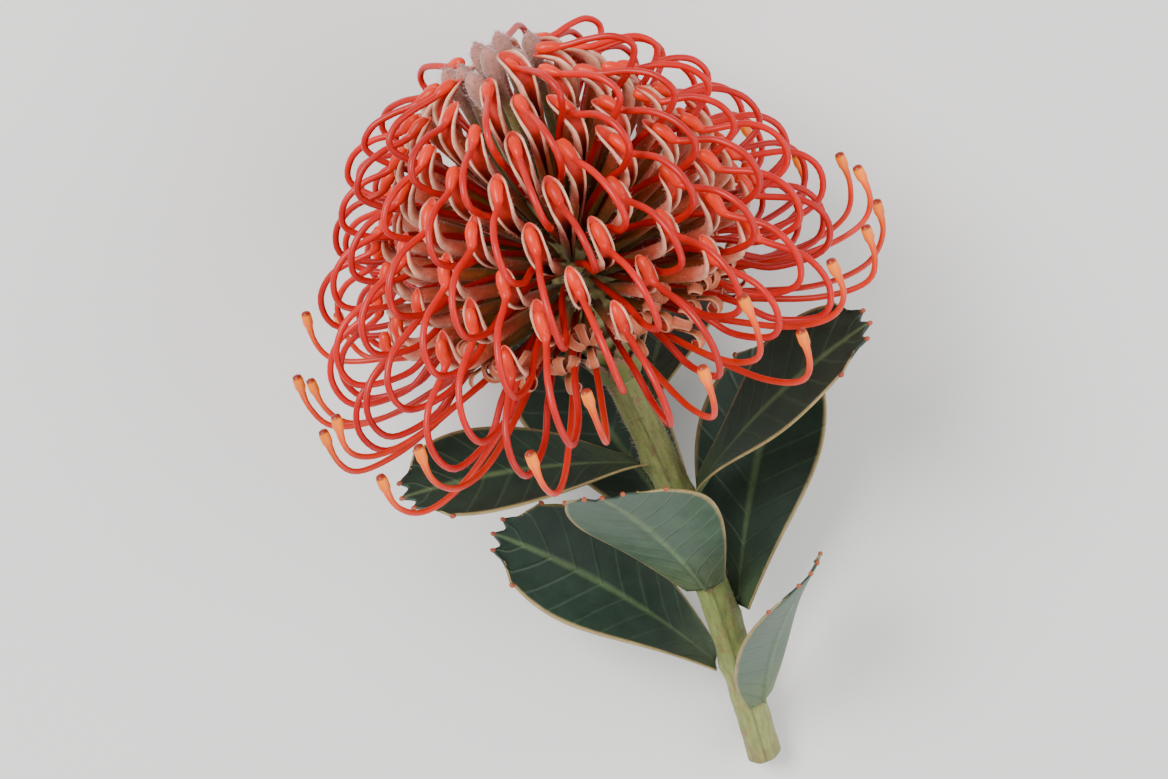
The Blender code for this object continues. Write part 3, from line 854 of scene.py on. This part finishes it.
@dataclass(frozen=True)
class Perianths:
    """The sheaths round the florets, one piece for each spiral row.

    A hooked sheath is a slit tube whose end bends inwards and opens like a spoon. Its ring at each point of its
    path is an arc from the slit's one edge to the other: path + out times depth times cos + side times width
    times sin.
    """

    path: Stops = (
        (0, 0), (11, 0), (22, 0.2), (27.4, 0.2), (30.2, -0.9), (31.8, -3.2), (32.2, -6.0), (31.5, -8.8))
    depth: Stops = (
        (0, 0.55), (0.12, 1.0), (0.5, 1.4), (0.75, 1.45), (0.86, 1.5), (1, 1.35))
    width: Stops = (
        (0, 0.55), (0.12, 1.05), (0.45, 1.6), (0.7, 1.75), (0.84, 2.1), (0.93, 2.0), (1, 1.8))
    slit: Stops = (
        (0, 0.04), (0.45, 0.05), (0.62, 0.13), (0.74, 0.26), (0.83, 0.4), (0.9, 0.48), (1, 0.5))
    wall: Stops = ((0, 0.2), (0.55, 0.25), (0.75, 0.45), (1, 0.42))
    bud: Stops = (
        (0, 0.45), (0.5, 1.0), (0.74, 1.1), (0.86, 2.1), (0.93, 2.0), (0.985, 1.2), (1, 0.3))
    round_end: float = 0.9
    steps: int = 36
    columns: int = 9
    hairs: int = 46

    def arc_sheets(self, path: Array, side: Array, depth: Array, width: Array, slit: Array,
                   thick: Array) -> tuple[Array, Array]:
        """The outer and inner sheets of a slit tube along a path.

        Args:
            path: its centreline.
            side: the direction of its width.
            depth: half its depth, at each point of the path.
            width: half its width there.
            slit: half its opening there, as a share of a half turn.
            thick: the thickness of its wall there.

        Returns:
            Both sheets, each as rows by columns by 3.
        """
        _, inwards, across = frames_along(path, side)
        turn = math.pi * slit[:, None]
        angle = turn + (2 * math.pi - 2 * turn) * np.linspace(0, 1, self.columns)
        sheets = []
        for wall in (0.0, thick):
            deep, wide = np.maximum(depth - wall, 0.05), np.maximum(width - wall, 0.05)
            sheets.append(path[:, None] - inwards[:, None] * (deep[:, None] * np.cos(angle))[..., None]
                          + across[:, None] * (wide[:, None] * np.sin(angle))[..., None])
        return sheets[0], sheets[1]

    def hooked(self, skin: Skin, index: int, rng: np.random.Generator) -> None:
        """A sheath that still holds its style's tip."""
        side = SEATS.frame(index)[3]
        stretch, bend = 1 + 0.03 * rng.standard_normal(), 1 + 0.12 * rng.standard_normal()
        corners = [(a * stretch if a < 30 else a - 30 + 30 * stretch, o * bend) for a, o in self.path]
        share = 1 - (1 - np.linspace(0, 1, self.steps)) ** 1.5
        path = placed(smooth_path(in_floret(index, corners), FINE), share)
        closing = np.clip((share - self.round_end) / (1 - self.round_end), 0, 0.985)
        size = (1 + 0.07 * rng.standard_normal()) * np.sqrt(1 - closing**2)
        depth, width = profile(self.depth, share) * size, profile(self.width, share) * size
        outer, inner = self.arc_sheets(path, side, depth, width, profile(self.slit, share),
                                       profile(self.wall, share))
        skin.add(plate(outer, inner, share, rng.random()), 0)
        skin.add(hairs_on(outer, path, slice(14, 33), self.hairs, (0.45, 0.95), 0.055, rng), 2)

    def rolled(self, skin: Skin, index: int, rng: np.random.Generator) -> None:
        """A sheath that has let its style go: a short tube whose four lobes roll up like shavings."""
        seat, along, out, side = SEATS.frame(index)
        top = 17 + 1.5 * rng.standard_normal()
        share = np.linspace(0, 1, 14)
        path = smooth_path(in_floret(index, [(0, 0), (7, 0), (top, 0.2)]), len(share))
        depth = profile(((0, 0.5), (0.3, 0.9), (1, 1.2)), share)
        width = profile(((0, 0.5), (0.3, 0.9), (1, 1.35)), share)
        slit = 0.05 + 0.3 * share**2
        outer, inner = self.arc_sheets(path, side, depth, width, slit, np.full(len(share), 0.25))
        skin.add(plate(outer, inner, share * 0.5, rng.random()), 0)
        for turned in (-0.75, 0.0, 0.75, math.pi):
            outward = -out * math.cos(turned) + side * math.sin(turned)
            self.lobe(skin, seat + along * (top - 1.5) + outward * 0.8, along, outward, rng)

    def lobe(self, skin: Skin, start: Array, along: Array, outward: Array,
             rng: np.random.Generator) -> None:
        """Adds one lobe: it rises, then follows a spiral whose radius shrinks with the turn.

        Args:
            skin: the piece it belongs to.
            start: the point of the tube's mouth where it begins.
            along: the direction of the tube.
            outward: the direction in which it rolls.
            rng: the source of chance.
        """
        radius, turn = rng.uniform(1.9, 2.8), rng.uniform(4.2, 6.4)
        rise = rng.uniform(1.5, 5.0)
        angle = np.linspace(0, turn, 20)
        shrinking = radius * (1 - 0.085 * angle)
        centre = start + along * rise + outward * radius
        turning = np.sin(angle)[:, None] * along - np.cos(angle)[:, None] * outward
        spiral = centre + shrinking[:, None] * turning
        straight = start + along * np.linspace(0, rise, 6)[:-1, None]
        path = np.vstack([straight, spiral])
        sideways = np.cross(along, outward)
        path = path + sideways * (rng.uniform(-0.9, 0.9) * np.linspace(0, 1, len(path)) ** 2)[:, None]
        share = np.linspace(0, 1, len(path))
        _, normal, width = frames_along(path, sideways)
        half = profile(((0, 0.65), (0.5, 0.95), (0.85, 1.3), (1, 0.3)), share)
        column = np.linspace(-1, 1, 5)
        middle = (path[:, None] + width[:, None] * (half[:, None] * column)[..., None]
                  - normal[:, None] * (0.35 * half[:, None] * column**2)[..., None])
        wall = normal[:, None] * 0.11
        skin.add(plate(middle + wall, middle - wall, share, rng.random()), 1)
        skin.add(hairs_on(middle, path - normal * 0.4, slice(4, 24), 8, (0.4, 0.8), 0.055, rng), 2)

    def closed(self, skin: Skin, index: int, rng: np.random.Generator) -> None:
        """A young bud in the middle of the head: a slim tube with a felted egg-shaped end."""
        side = SEATS.frame(index)[3]
        tall = rng.uniform(31.5, 34.0)
        rows, columns = 40, 12
        path = smooth_path(in_floret(index, [(0, 0), (10, -0.6), (20, -2.0), (tall, -4.2)]), rows)
        radius = profile(self.bud, np.linspace(0, 1, rows))
        bud = round_tube(path, side, radius, radius, columns, rng.random())
        skin.add(bud, 3)
        grid = bud.points[: rows * columns].reshape(rows, columns, 3)
        skin.add(hairs_on(grid, path, slice(27, rows), 190, (0.6, 1.3), 0.06, rng), 2)

    def build(self) -> None:
        """Makes the 13 rows."""
        finishes = (Finish.SHEATH, Finish.RIBBON, Finish.DOWN, Finish.BUD)
        materials = [finish.value.build() for finish in finishes]
        for row in range(HABIT.rows):
            rng = np.random.default_rng(100 + row)
            skin = Skin()
            for place in range(HABIT.florets_per_row):
                index = row + HABIT.rows * place
                if index < HABIT.closed_buds:
                    self.closed(skin, index, rng)
                elif place < HABIT.first_open_place:
                    self.hooked(skin, index, rng)
                else:
                    self.rolled(skin, index, rng)
            name = f"perianths_row_{row + 1:02d}"
            skin.to_piece(name + "_skin", materials, name, "perianth")


@dataclass(frozen=True)
class Styles:
    """The waxy threads: a looped one bows out and back to its sheath, and a free one ends in a club."""

    looped_radius: Stops = (
        (0, 0.45), (0.08, 0.62), (0.3, 0.72), (0.8, 0.7), (0.915, 0.72), (0.935, 1.1), (0.97, 1.3), (0.99, 1.1),
        (1, 0.4))
    open_radius: Stops = (
        (0, 0.45), (0.08, 0.6), (0.3, 0.7), (0.9, 0.62), (0.935, 0.78), (0.958, 1.15), (0.985, 1.15),
        (0.996, 0.9), (1, 0.3))
    first_reach: float = 5.0
    more_reach: float = 9.0
    first_width: float = 11.0
    more_width: float = 6.0
    full_grown: float = 0.6
    looped_clearance: float = 2.4
    open_clearance: float = 0.65
    columns: int = 10

    def looped_corners(self, index: int, rng: np.random.Generator) -> list[tuple[float, float]]:
        """Corners of a looped style, along and out. The loops grow from the tip of the head down."""
        grown = min(1.0, index / (self.full_grown * HABIT.florets))
        reach = (self.first_reach + self.more_reach * grown) * (1 + 0.05 * rng.standard_normal())
        width = (self.first_width + self.more_width * grown) * (1 + 0.06 * rng.standard_normal())
        rim = HABIT.rim
        outwards = [(0, 1.6), (11, 4.0), (22, 1.5 + 0.5 * width), (rim - 1, 0.92 * width)]
        over = [(rim + 0.7 * reach, width), (rim + reach, 0.66 * width), (rim + 0.84 * reach, 0.24 * width)]
        return outwards + over + [(rim + 3.6, -1.6), (rim + 3.1, -4.6), (rim + 2.5, -7.4)]

    def open_corners(self, rng: np.random.Generator) -> list[tuple[float, float]]:
        """Corners of a free style, along and out: it sweeps out past the rim and turns up at its end."""
        hang, hook = rng.uniform(0.75, 1.1), rng.uniform(-1.5, 1.0)
        return [(0, 1.6), (12, 3.6), (26, 7.0 * hang), (39, 8.4 * hang), (49, 6.0 * hang),
                (53.5 + hook, 0.0), (53.0 + hook, -8.0)]

    def thread(self, skin: Skin, index: int, corners: Sequence[tuple[float, float]], share: Array, radii: Stops,
               clearance: float, rng: np.random.Generator) -> None:
        """Adds one style.

        Args:
            skin: the piece it belongs to.
            index: its floret.
            corners: the corners of its centreline.
            share: the shares of its length at which its rings stand.
            radii: stops of its radius.
            clearance: how near the middle of its slim part may come to the floor.
            rng: the source of chance.
        """
        side = SEATS.frame(index)[3]
        path = placed(smooth_path(in_floret(index, corners, SEATS.style_foot(index)), FINE), share)
        sway = rng.uniform(-1.3, 1.3) * np.sin(math.pi * share) ** 2
        sway = sway + rng.uniform(-0.5, 0.5) * np.sin(2 * math.pi * share)
        radius = profile(radii, share)
        path = settle(path + side * sway[:, None], np.maximum(clearance, radius + 0.1))
        part = round_tube(path, side, radius, radius, self.columns, rng.random())
        part.growth[: len(share) * self.columns, 0] = np.repeat(share, self.columns)
        skin.add(part)

    def build(self) -> None:
        """Makes the rows of looped styles and the rows of free ones."""
        slim = np.linspace(0, 0.9, 46, endpoint=False)
        looped_share = np.concatenate([slim, np.linspace(0.9, 1.0, 14)])
        slim = np.linspace(0, 0.9, 42, endpoint=False)
        open_share = np.concatenate([slim, np.linspace(0.9, 0.99, 16), [0.996, 1.0]])
        looped_material, open_material = Finish.LOOPED_STYLE.value.build(), Finish.OPEN_STYLE.value.build()
        for row in range(HABIT.rows):
            rng = np.random.default_rng(300 + row)
            looped, free = Skin(), Skin()
            for place in range(HABIT.florets_per_row):
                index = row + HABIT.rows * place
                if place >= HABIT.first_open_place:
                    self.thread(free, index, self.open_corners(rng), open_share, self.open_radius,
                                self.open_clearance, rng)
                elif index >= HABIT.closed_buds:
                    self.thread(looped, index, self.looped_corners(index, rng), looped_share,
                                self.looped_radius, self.looped_clearance, rng)
            for skin, kind, material in ((looped, "looped", looped_material), (free, "open", open_material)):
                name = f"{kind}_styles_row_{row + 1:02d}"
                skin.to_piece(name + "_skin", [material], name, f"{kind}_style")


def stem_centre(distance: Array | float) -> Array:
    """Points on the stem's centreline: down the axis, with a bow to one side that follows a sine."""
    distance = np.asarray(distance, float)[..., None]
    bow = HABIT.stem_bow * np.sin(math.pi * distance / HABIT.stem_length)
    return LIE.base - LIE.axis * distance + LIE.across * bow


def stem_radius(distance: Array | float) -> Array:
    """The stem's radius: its slim part, plus a neck that fades with the distance, plus a slow widening."""
    neck = np.exp(-np.asarray(distance) / HABIT.stem_neck)
    return (HABIT.stem_radius + (HABIT.stem_top_radius - HABIT.stem_radius) * neck
            + (HABIT.stem_cut_radius - HABIT.stem_radius) * np.asarray(distance) / HABIT.stem_length)


@dataclass(frozen=True)
class Leaves:
    """The leaves, one piece each, on the middle surfaces of the solid model's leaves.

    The surface is a strip round an arching middle line: middle + across times half width times c + face times
    cup times (c^2 - 0.4), where c runs from -1 to 1 across the blade.
    """

    count: int = 8
    first_distance: float = 25.0
    step: float = 11.0
    shortest: float = 44.0
    longest: float = 62.0
    slenderness: float = 0.24
    first_azimuth: float = 150.0
    tip_depth: float = 15.0
    least_slant: float = 38.0
    arch: float = 24.0
    twist: float = 50.0
    cup: float = 0.18
    ripple: float = 0.35
    ripples: float = 1.6
    tooth_share: float = 0.9
    seat_gap: float = 0.8
    rows: int = 66
    columns: int = 29

    def azimuth(self, number: int) -> float:
        """Azimuth of a leaf, in radians: each stands a golden angle on from the last."""
        return math.radians(number * HABIT.golden_angle + self.first_azimuth)

    def half_width(self, share: Array) -> Array:
        """Half the width as a share of its greatest: that of the stem at the foot, widest past the middle."""
        return 0.3 + 0.7 * np.sin(math.pi * np.minimum(share, 0.98) ** 1.4) ** 0.7

    def surface(self, number: int, rng: np.random.Generator) -> tuple[Array, Array, Array]:
        """The middle surface of one leaf.

        Args:
            number: the leaf, counted from the head.
            rng: the source of chance.

        Returns:
            Its grid of points, the direction of its upper face for each row, and its heading for each row.
        """
        azimuth, down = self.azimuth(number), number / (self.count - 1)
        distance = self.first_distance + self.step * number
        length = self.shortest + (self.longest - self.shortest) * math.sin(math.pi * (0.1 + 0.7 * down))
        rise = min((distance - self.tip_depth) / length, math.cos(math.radians(self.least_slant)))
        share = np.linspace(0, 1, self.rows)
        slant = math.acos(rise) + math.radians(self.arch) * (share - 0.5)
        outward, sideways = LIE.around(azimuth), LIE.sideways(azimuth)
        heading = np.sin(slant)[:, None] * outward + np.cos(slant)[:, None] * LIE.axis
        foot = stem_centre(distance) + outward * (stem_radius(distance) + self.seat_gap)
        steps = (heading[:-1] + heading[1:]) / 2 * length / (self.rows - 1)
        middle = foot + np.vstack([np.zeros(3), np.cumsum(steps, axis=0)])
        lean = math.sin(azimuth) * abs(math.sin(azimuth / 2))
        twist = math.radians(self.twist) * lean * np.sin(math.pi / 2 * share)[:, None]
        across = np.cos(twist) * sideways + np.sin(twist) * np.cross(heading, sideways)
        face = np.cross(heading, across)
        column = np.linspace(-1, 1, self.columns)
        side_tooth = 0.045 * np.exp(-(((share - self.tooth_share) / 0.016) ** 2))
        half = length * self.slenderness * (self.half_width(share) + side_tooth)
        wave = np.sin(2 * math.pi * (self.ripples * share[:, None] + rng.random()) + 1.5 * column)
        ripple = self.ripple * wave * np.abs(column) ** 1.5
        cup = (half * self.cup)[:, None] * (column**2 - 0.4) + ripple
        near_tip = np.clip((share - 0.84) / 0.16, 0, 1) ** 2
        teeth = near_tip[:, None] * (0.95 * np.cos(3 * math.pi * column) - 2.4 * column**2)
        flat = middle[:, None] + across[:, None] * (half[:, None] * column)[..., None]
        blade = flat + heading[:, None] * teeth[..., None] + face[:, None] * cup[..., None]
        return settle(blade, HABIT.floor_clearance), face, heading

    def build_leaf(self, number: int, materials: Sequence[bpy.types.Material]) -> None:
        """Makes one leaf, its middle surface thickened to both sides, and its glands."""
        rng = np.random.default_rng(500 + number)
        surface, face, heading = self.surface(number, rng)
        normal = unit(np.cross(np.gradient(surface, axis=0), np.gradient(surface, axis=1)))
        normal = normal * np.sign(np.einsum("rcx,rx->rc", normal, face))[..., None]
        column = np.linspace(-1, 1, self.columns)
        share = np.linspace(0, 1, self.rows)
        rib = np.exp(-((column / 0.075) ** 2)) * (1 - 0.75 * share[:, None])
        upper = surface + normal * (0.24 - 0.12 * rib)[..., None]
        lower = surface - normal * (0.24 + 0.75 * rib)[..., None]
        skin = Skin()
        skin.add(plate(upper, lower, share, rng.random()), 0)
        last = self.columns - 1
        tooth_row = int(self.tooth_share * (self.rows - 1))
        for row, place in ((self.rows - 1, last // 2), (self.rows - 1, round(last / 6)),
                           (self.rows - 1, last - round(last / 6)), (tooth_row, 0), (tooth_row, last)):
            skin.add(bead(surface[row, place], heading[row], 0.55, rng.random()), 1)
        name = f"leaf_{number + 1:02d}"
        skin.to_piece(name + "_blade", materials, name, "leaf")

    def build(self) -> None:
        """Makes all the leaves."""
        materials = [LeafSurface().build(), Finish.GLAND.value.build()]
        for number in range(self.count):
            self.build_leaf(number, materials)


def bead(centre: Array, way: Array, radius: float, luck: float) -> Part:
    """A small egg: rings whose radius follows the sine of the latitude, 1.3 times as long as wide."""
    latitude = np.linspace(0.15, math.pi - 0.15, 6)
    path = centre - way * (1.3 * radius * np.cos(latitude))[:, None]
    helper = np.array([0.0, 0.0, 1.0]) if abs(way[2]) < 0.9 else np.array([1.0, 0.0, 0.0])
    round_it = radius * np.sin(latitude)
    return round_tube(path, unit(np.cross(way, helper)), round_it, round_it, 8, luck)


@dataclass(frozen=True)
class Stem:
    """The stem: rings whose radius is the stem's own plus slight ridges and a swelling under each leaf."""

    leaves: Leaves
    rows: int = 230
    columns: int = 36
    ridge: float = 0.1
    swelling: float = 0.8
    hairs: int = 1500

    def build(self) -> None:
        """Makes the stem with its cut face, and the wool on it."""
        rng = np.random.default_rng(700)
        distance = np.linspace(0.3, HABIT.stem_length, self.rows)
        angle = np.arange(self.columns) * 2 * math.pi / self.columns
        radius = stem_radius(distance)[:, None] + self.ridge * np.cos(7 * angle + 0.03 * distance[:, None])
        for wave in range(1, 6):
            phase = rng.random(2) * 2 * math.pi
            down = np.cos(0.16 * wave * distance[:, None] + phase[1])
            radius = radius + 0.07 * np.cos(wave * angle + phase[0]) * down
        for number in range(self.leaves.count):
            off = np.angle(np.exp(1j * (angle - self.leaves.azimuth(number)))) / 0.55
            below = (distance - self.leaves.first_distance - self.leaves.step * number - 1.0) / 2.6
            radius = radius + self.swelling * np.exp(-(off**2)) * np.exp(-(below**2))[:, None]
        centre = stem_centre(distance)
        grid = centre[:, None] + LIE.around(angle) * radius[..., None]
        shrink = np.array([0.985, 0.93, 0.75, 0.5, 0.25, 0.06])
        face = centre[-1] + (grid[-1] - centre[-1]) * shrink[:, None, None] - LIE.axis * 0.12
        along = np.concatenate([0.5 * distance / HABIT.stem_length, 0.5 + 0.5 * (1 - shrink)])
        skin = Skin()
        skin.add(tube(np.concatenate([grid, face]), along, 0.5), 0)
        row = (rng.beta(0.7, 1.9, self.hairs) * (self.rows - 2)).astype(int)
        column = rng.integers(0, self.columns, self.hairs)
        roots = grid[row, column]
        ways = unit(unit(roots - centre[row]) + 0.6 * LIE.axis + 0.5 * rng.standard_normal((self.hairs, 3)))
        skin.add(spikes(roots, ways, rng.uniform(0.5, 1.4, self.hairs), 0.06, rng.random(self.hairs)), 1)
        skin.to_piece("stem_skin", [Bark().build(), Finish.WOOL.value.build()], "stem", "stem")


@dataclass(frozen=True)
class Involucre:
    """The whorls of bracts under the head, one piece each.

    A bract is a strip on a cone: azimuth = its own + c times half width / radius, while the radius and the
    height follow a line that leans further out towards its tip.
    """

    whorls: int = 3
    bracts: int = 8
    first_height: float = -15.8
    step: float = 4.0
    length: float = 9.6
    first_lean: float = 30.0
    lean_step: float = 10.0
    half_width: float = 3.1
    outline: Stops = ((0, 0.7), (0.3, 1.0), (0.6, 0.82), (0.85, 0.4), (1, 0.04))

    def bract(self, skin: Skin, whorl: int, azimuth: float, rng: np.random.Generator) -> None:
        """Adds one bract and the hairs of its margin."""
        height = self.first_height + self.step * whorl
        lean = math.radians(self.first_lean + self.lean_step * whorl + rng.uniform(-5, 5))
        share = np.linspace(0, 1, 18)
        column = np.linspace(-1, 1, 9)
        slope = lean * (0.55 + 0.75 * share)
        step = self.length * rng.uniform(0.92, 1.08) / 17
        radius = stem_radius(-height) + 0.5 + 0.1 * whorl + np.cumsum(np.sin(slope)) * step
        rise = height + np.cumsum(np.cos(slope)) * step
        half = self.half_width * profile(self.outline, share)
        turned = azimuth + column * half[:, None] / (radius[:, None] + 1.5)
        shift = stem_centre(-height) - LIE.place(0.0, 0.0, height)
        sheets = []
        for depth in (0.22, -0.22):
            lifted = radius[:, None] + depth * np.cos(slope)[:, None] + 0.25 * share[:, None] * column**2
            sheets.append(LIE.place(turned, lifted, rise[:, None] - depth * np.sin(slope)[:, None]) + shift)
        skin.add(plate(sheets[0], sheets[1], share, rng.random()), 0)
        count = 44
        row, edge = rng.integers(1, 18, count), rng.integers(0, 2, count) * 8
        roots = (sheets[0][row, edge] + sheets[1][row, edge]) / 2
        sideways = unit(sheets[0][row, edge] - sheets[0][row, 4] + 1e-6)
        ways = unit(sideways + 0.8 * LIE.axis + 0.4 * rng.standard_normal((count, 3)))
        skin.add(spikes(roots, ways, rng.uniform(0.5, 1.2, count), 0.06, rng.random(count)), 1)

    def build(self) -> None:
        """Makes the three whorls."""
        materials = [Finish.BRACT.value.build(), Finish.WOOL.value.build()]
        for whorl in range(self.whorls):
            rng = np.random.default_rng(800 + whorl)
            skin = Skin()
            for number in range(self.bracts):
                self.bract(skin, whorl, 2 * math.pi * (number + 0.5 * whorl) / self.bracts, rng)
            name = f"involucre_whorl_{whorl + 1}"
            skin.to_piece(name + "_bracts", materials, name, "bract")


def dress_receptacle() -> None:
    """Gives the cone of the solid model, which stays, a woolly finish."""
    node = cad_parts["receptacle"]
    material = Finish.CONE.value.build()
    node.data.materials.clear()
    node.data.materials.append(material)
    LOG.info("receptacle: finish %s", material.name)


# ---------------------------------------------------------------- studio


def solid_points(node: str) -> Array:
    """The points of one node of the solid model, in metres."""
    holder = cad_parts[node]
    points = np.empty(3 * len(holder.data.vertices))
    holder.data.vertices.foreach_get("co", points)
    turn = np.array(holder.matrix_world)
    return points.reshape(-1, 3) @ turn[:3, :3].T + turn[:3, 3]


@dataclass(frozen=True)
class Studio:
    """A pale floor, soft light and the camera, which looks down on the flower.

    Args:
        elevation: of the camera above the horizon, in degrees: past 90 it stands a little beyond the flower.
        roll: turn of its picture, in degrees.
        lens: its focal length, in millimetres.
        margin: the share of the frame that the flower fills.
        reach: half the side of the floor, in metres.
        target: the point that the lights face, in metres.
    """

    elevation: float = 94.0
    roll: float = -22.0
    lens: float = 75.0
    margin: float = 0.96
    reach: float = 4.0
    target: tuple[float, float, float] = (0.0, 0.03, 0.04)

    def floor(self) -> None:
        """The floor: a wide plain sheet."""
        mesh = bpy.data.meshes.new("floor")
        signs = ((-1, -1), (1, -1), (1, 1), (-1, 1))
        mesh.from_pydata([(self.reach * x, self.reach * y, 0) for x, y in signs], [], [(0, 1, 2, 3)])
        sheet = bpy.data.objects.new("floor", mesh)
        bpy.context.scene.collection.objects.link(sheet)
        material = bpy.data.materials.new("matt studio floor")
        material.use_nodes = True
        shader = material.node_tree.nodes["Principled BSDF"]
        shader.inputs["Base Color"].default_value = srgb("#e9e7e4")
        shader.inputs["Roughness"].default_value = 0.8
        mesh.materials.append(material)

    def lamp(self, name: str, place: tuple[float, float, float], size: float, watts: float) -> None:
        """Adds one softbox, a square area light that faces the flower.

        Args:
            name: its name.
            place: where it stands, in metres.
            size: its side, in metres.
            watts: its power.
        """
        light = bpy.data.lights.new(name, "AREA")
        light.size = size
        light.energy = watts
        holder = bpy.data.objects.new(name, light)
        holder.location = place
        holder.rotation_mode = "QUATERNION"
        holder.rotation_quaternion = (Vector(self.target) - Vector(place)).to_track_quat("-Z", "Y")
        bpy.context.scene.collection.objects.link(holder)

    def lights(self) -> None:
        """A large soft key light from the upper left, two weaker ones and a pale surrounding."""
        self.lamp("key", (-0.45, 0.55, 1.0), 0.55, 17.0)
        self.lamp("fill", (0.8, -0.2, 0.7), 0.8, 6.5)
        self.lamp("rim", (0.1, -0.9, 0.6), 0.5, 5.0)
        world = bpy.context.scene.world or bpy.data.worlds.new("surrounding")
        bpy.context.scene.world = world
        world.use_nodes = True
        sky = world.node_tree.nodes["Background"]
        sky.inputs["Color"].default_value = srgb("#e9ebee")
        sky.inputs["Strength"].default_value = 0.7

    def camera(self, corners: Array) -> None:
        """Places the camera so that these corners just fit the frame.

        In the camera's own directions, a corner fits when its sideways distance is within the view's slope times
        its distance ahead. The nearest place that holds for all corners is found after centring them.

        Args:
            corners: the points of the solid model, in metres.
        """
        angle, roll = math.radians(self.elevation), math.radians(self.roll)
        back = np.array([0.0, -math.cos(angle), math.sin(angle)])
        up = unit(np.array([0.0, 1.0, 0.0]) - back * back[1])
        right = np.cross(up, back)
        turned = right * math.cos(roll) + up * math.sin(roll)
        axes = np.stack([turned, up * math.cos(roll) - right * math.sin(roll), back])
        local = corners @ axes.T
        slope = np.array([18 / self.lens, 18 / self.lens / ASPECT]) * self.margin
        middle = (local[:, :2].min(axis=0) + local[:, :2].max(axis=0)) / 2
        for _ in range(8):
            distance = (np.abs(local[:, :2] - middle) / slope + local[:, 2:]).max()
            seen = (local[:, :2] - middle) / (distance - local[:, 2:])
            middle = middle + (seen.min(axis=0) + seen.max(axis=0)) / 2 * distance
        data = bpy.data.cameras.new("camera")
        data.lens = self.lens
        data.sensor_width = 36
        camera = bpy.data.objects.new("camera", data)
        place = axes.T @ np.array([*middle, distance])
        camera.matrix_world = Matrix.Translation(Vector(place)) @ Matrix(axes.T.tolist()).to_4x4()
        bpy.context.scene.collection.objects.link(camera)
        bpy.context.scene.camera = camera

    def build(self) -> None:
        """Makes the floor, the lights and the camera."""
        self.floor()
        self.lights()
        self.camera(np.vstack([solid_points(node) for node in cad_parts]))


def main() -> None:
    """Builds the flower and the studio."""
    logging.basicConfig(level=logging.INFO, format="%(message)s")
    leaves = Leaves()
    for organ in (Perianths(), Styles(), Involucre(), Stem(leaves), leaves):
        organ.build()
    dress_receptacle()
    Studio().build()


if __name__ == "__main__":
    main()
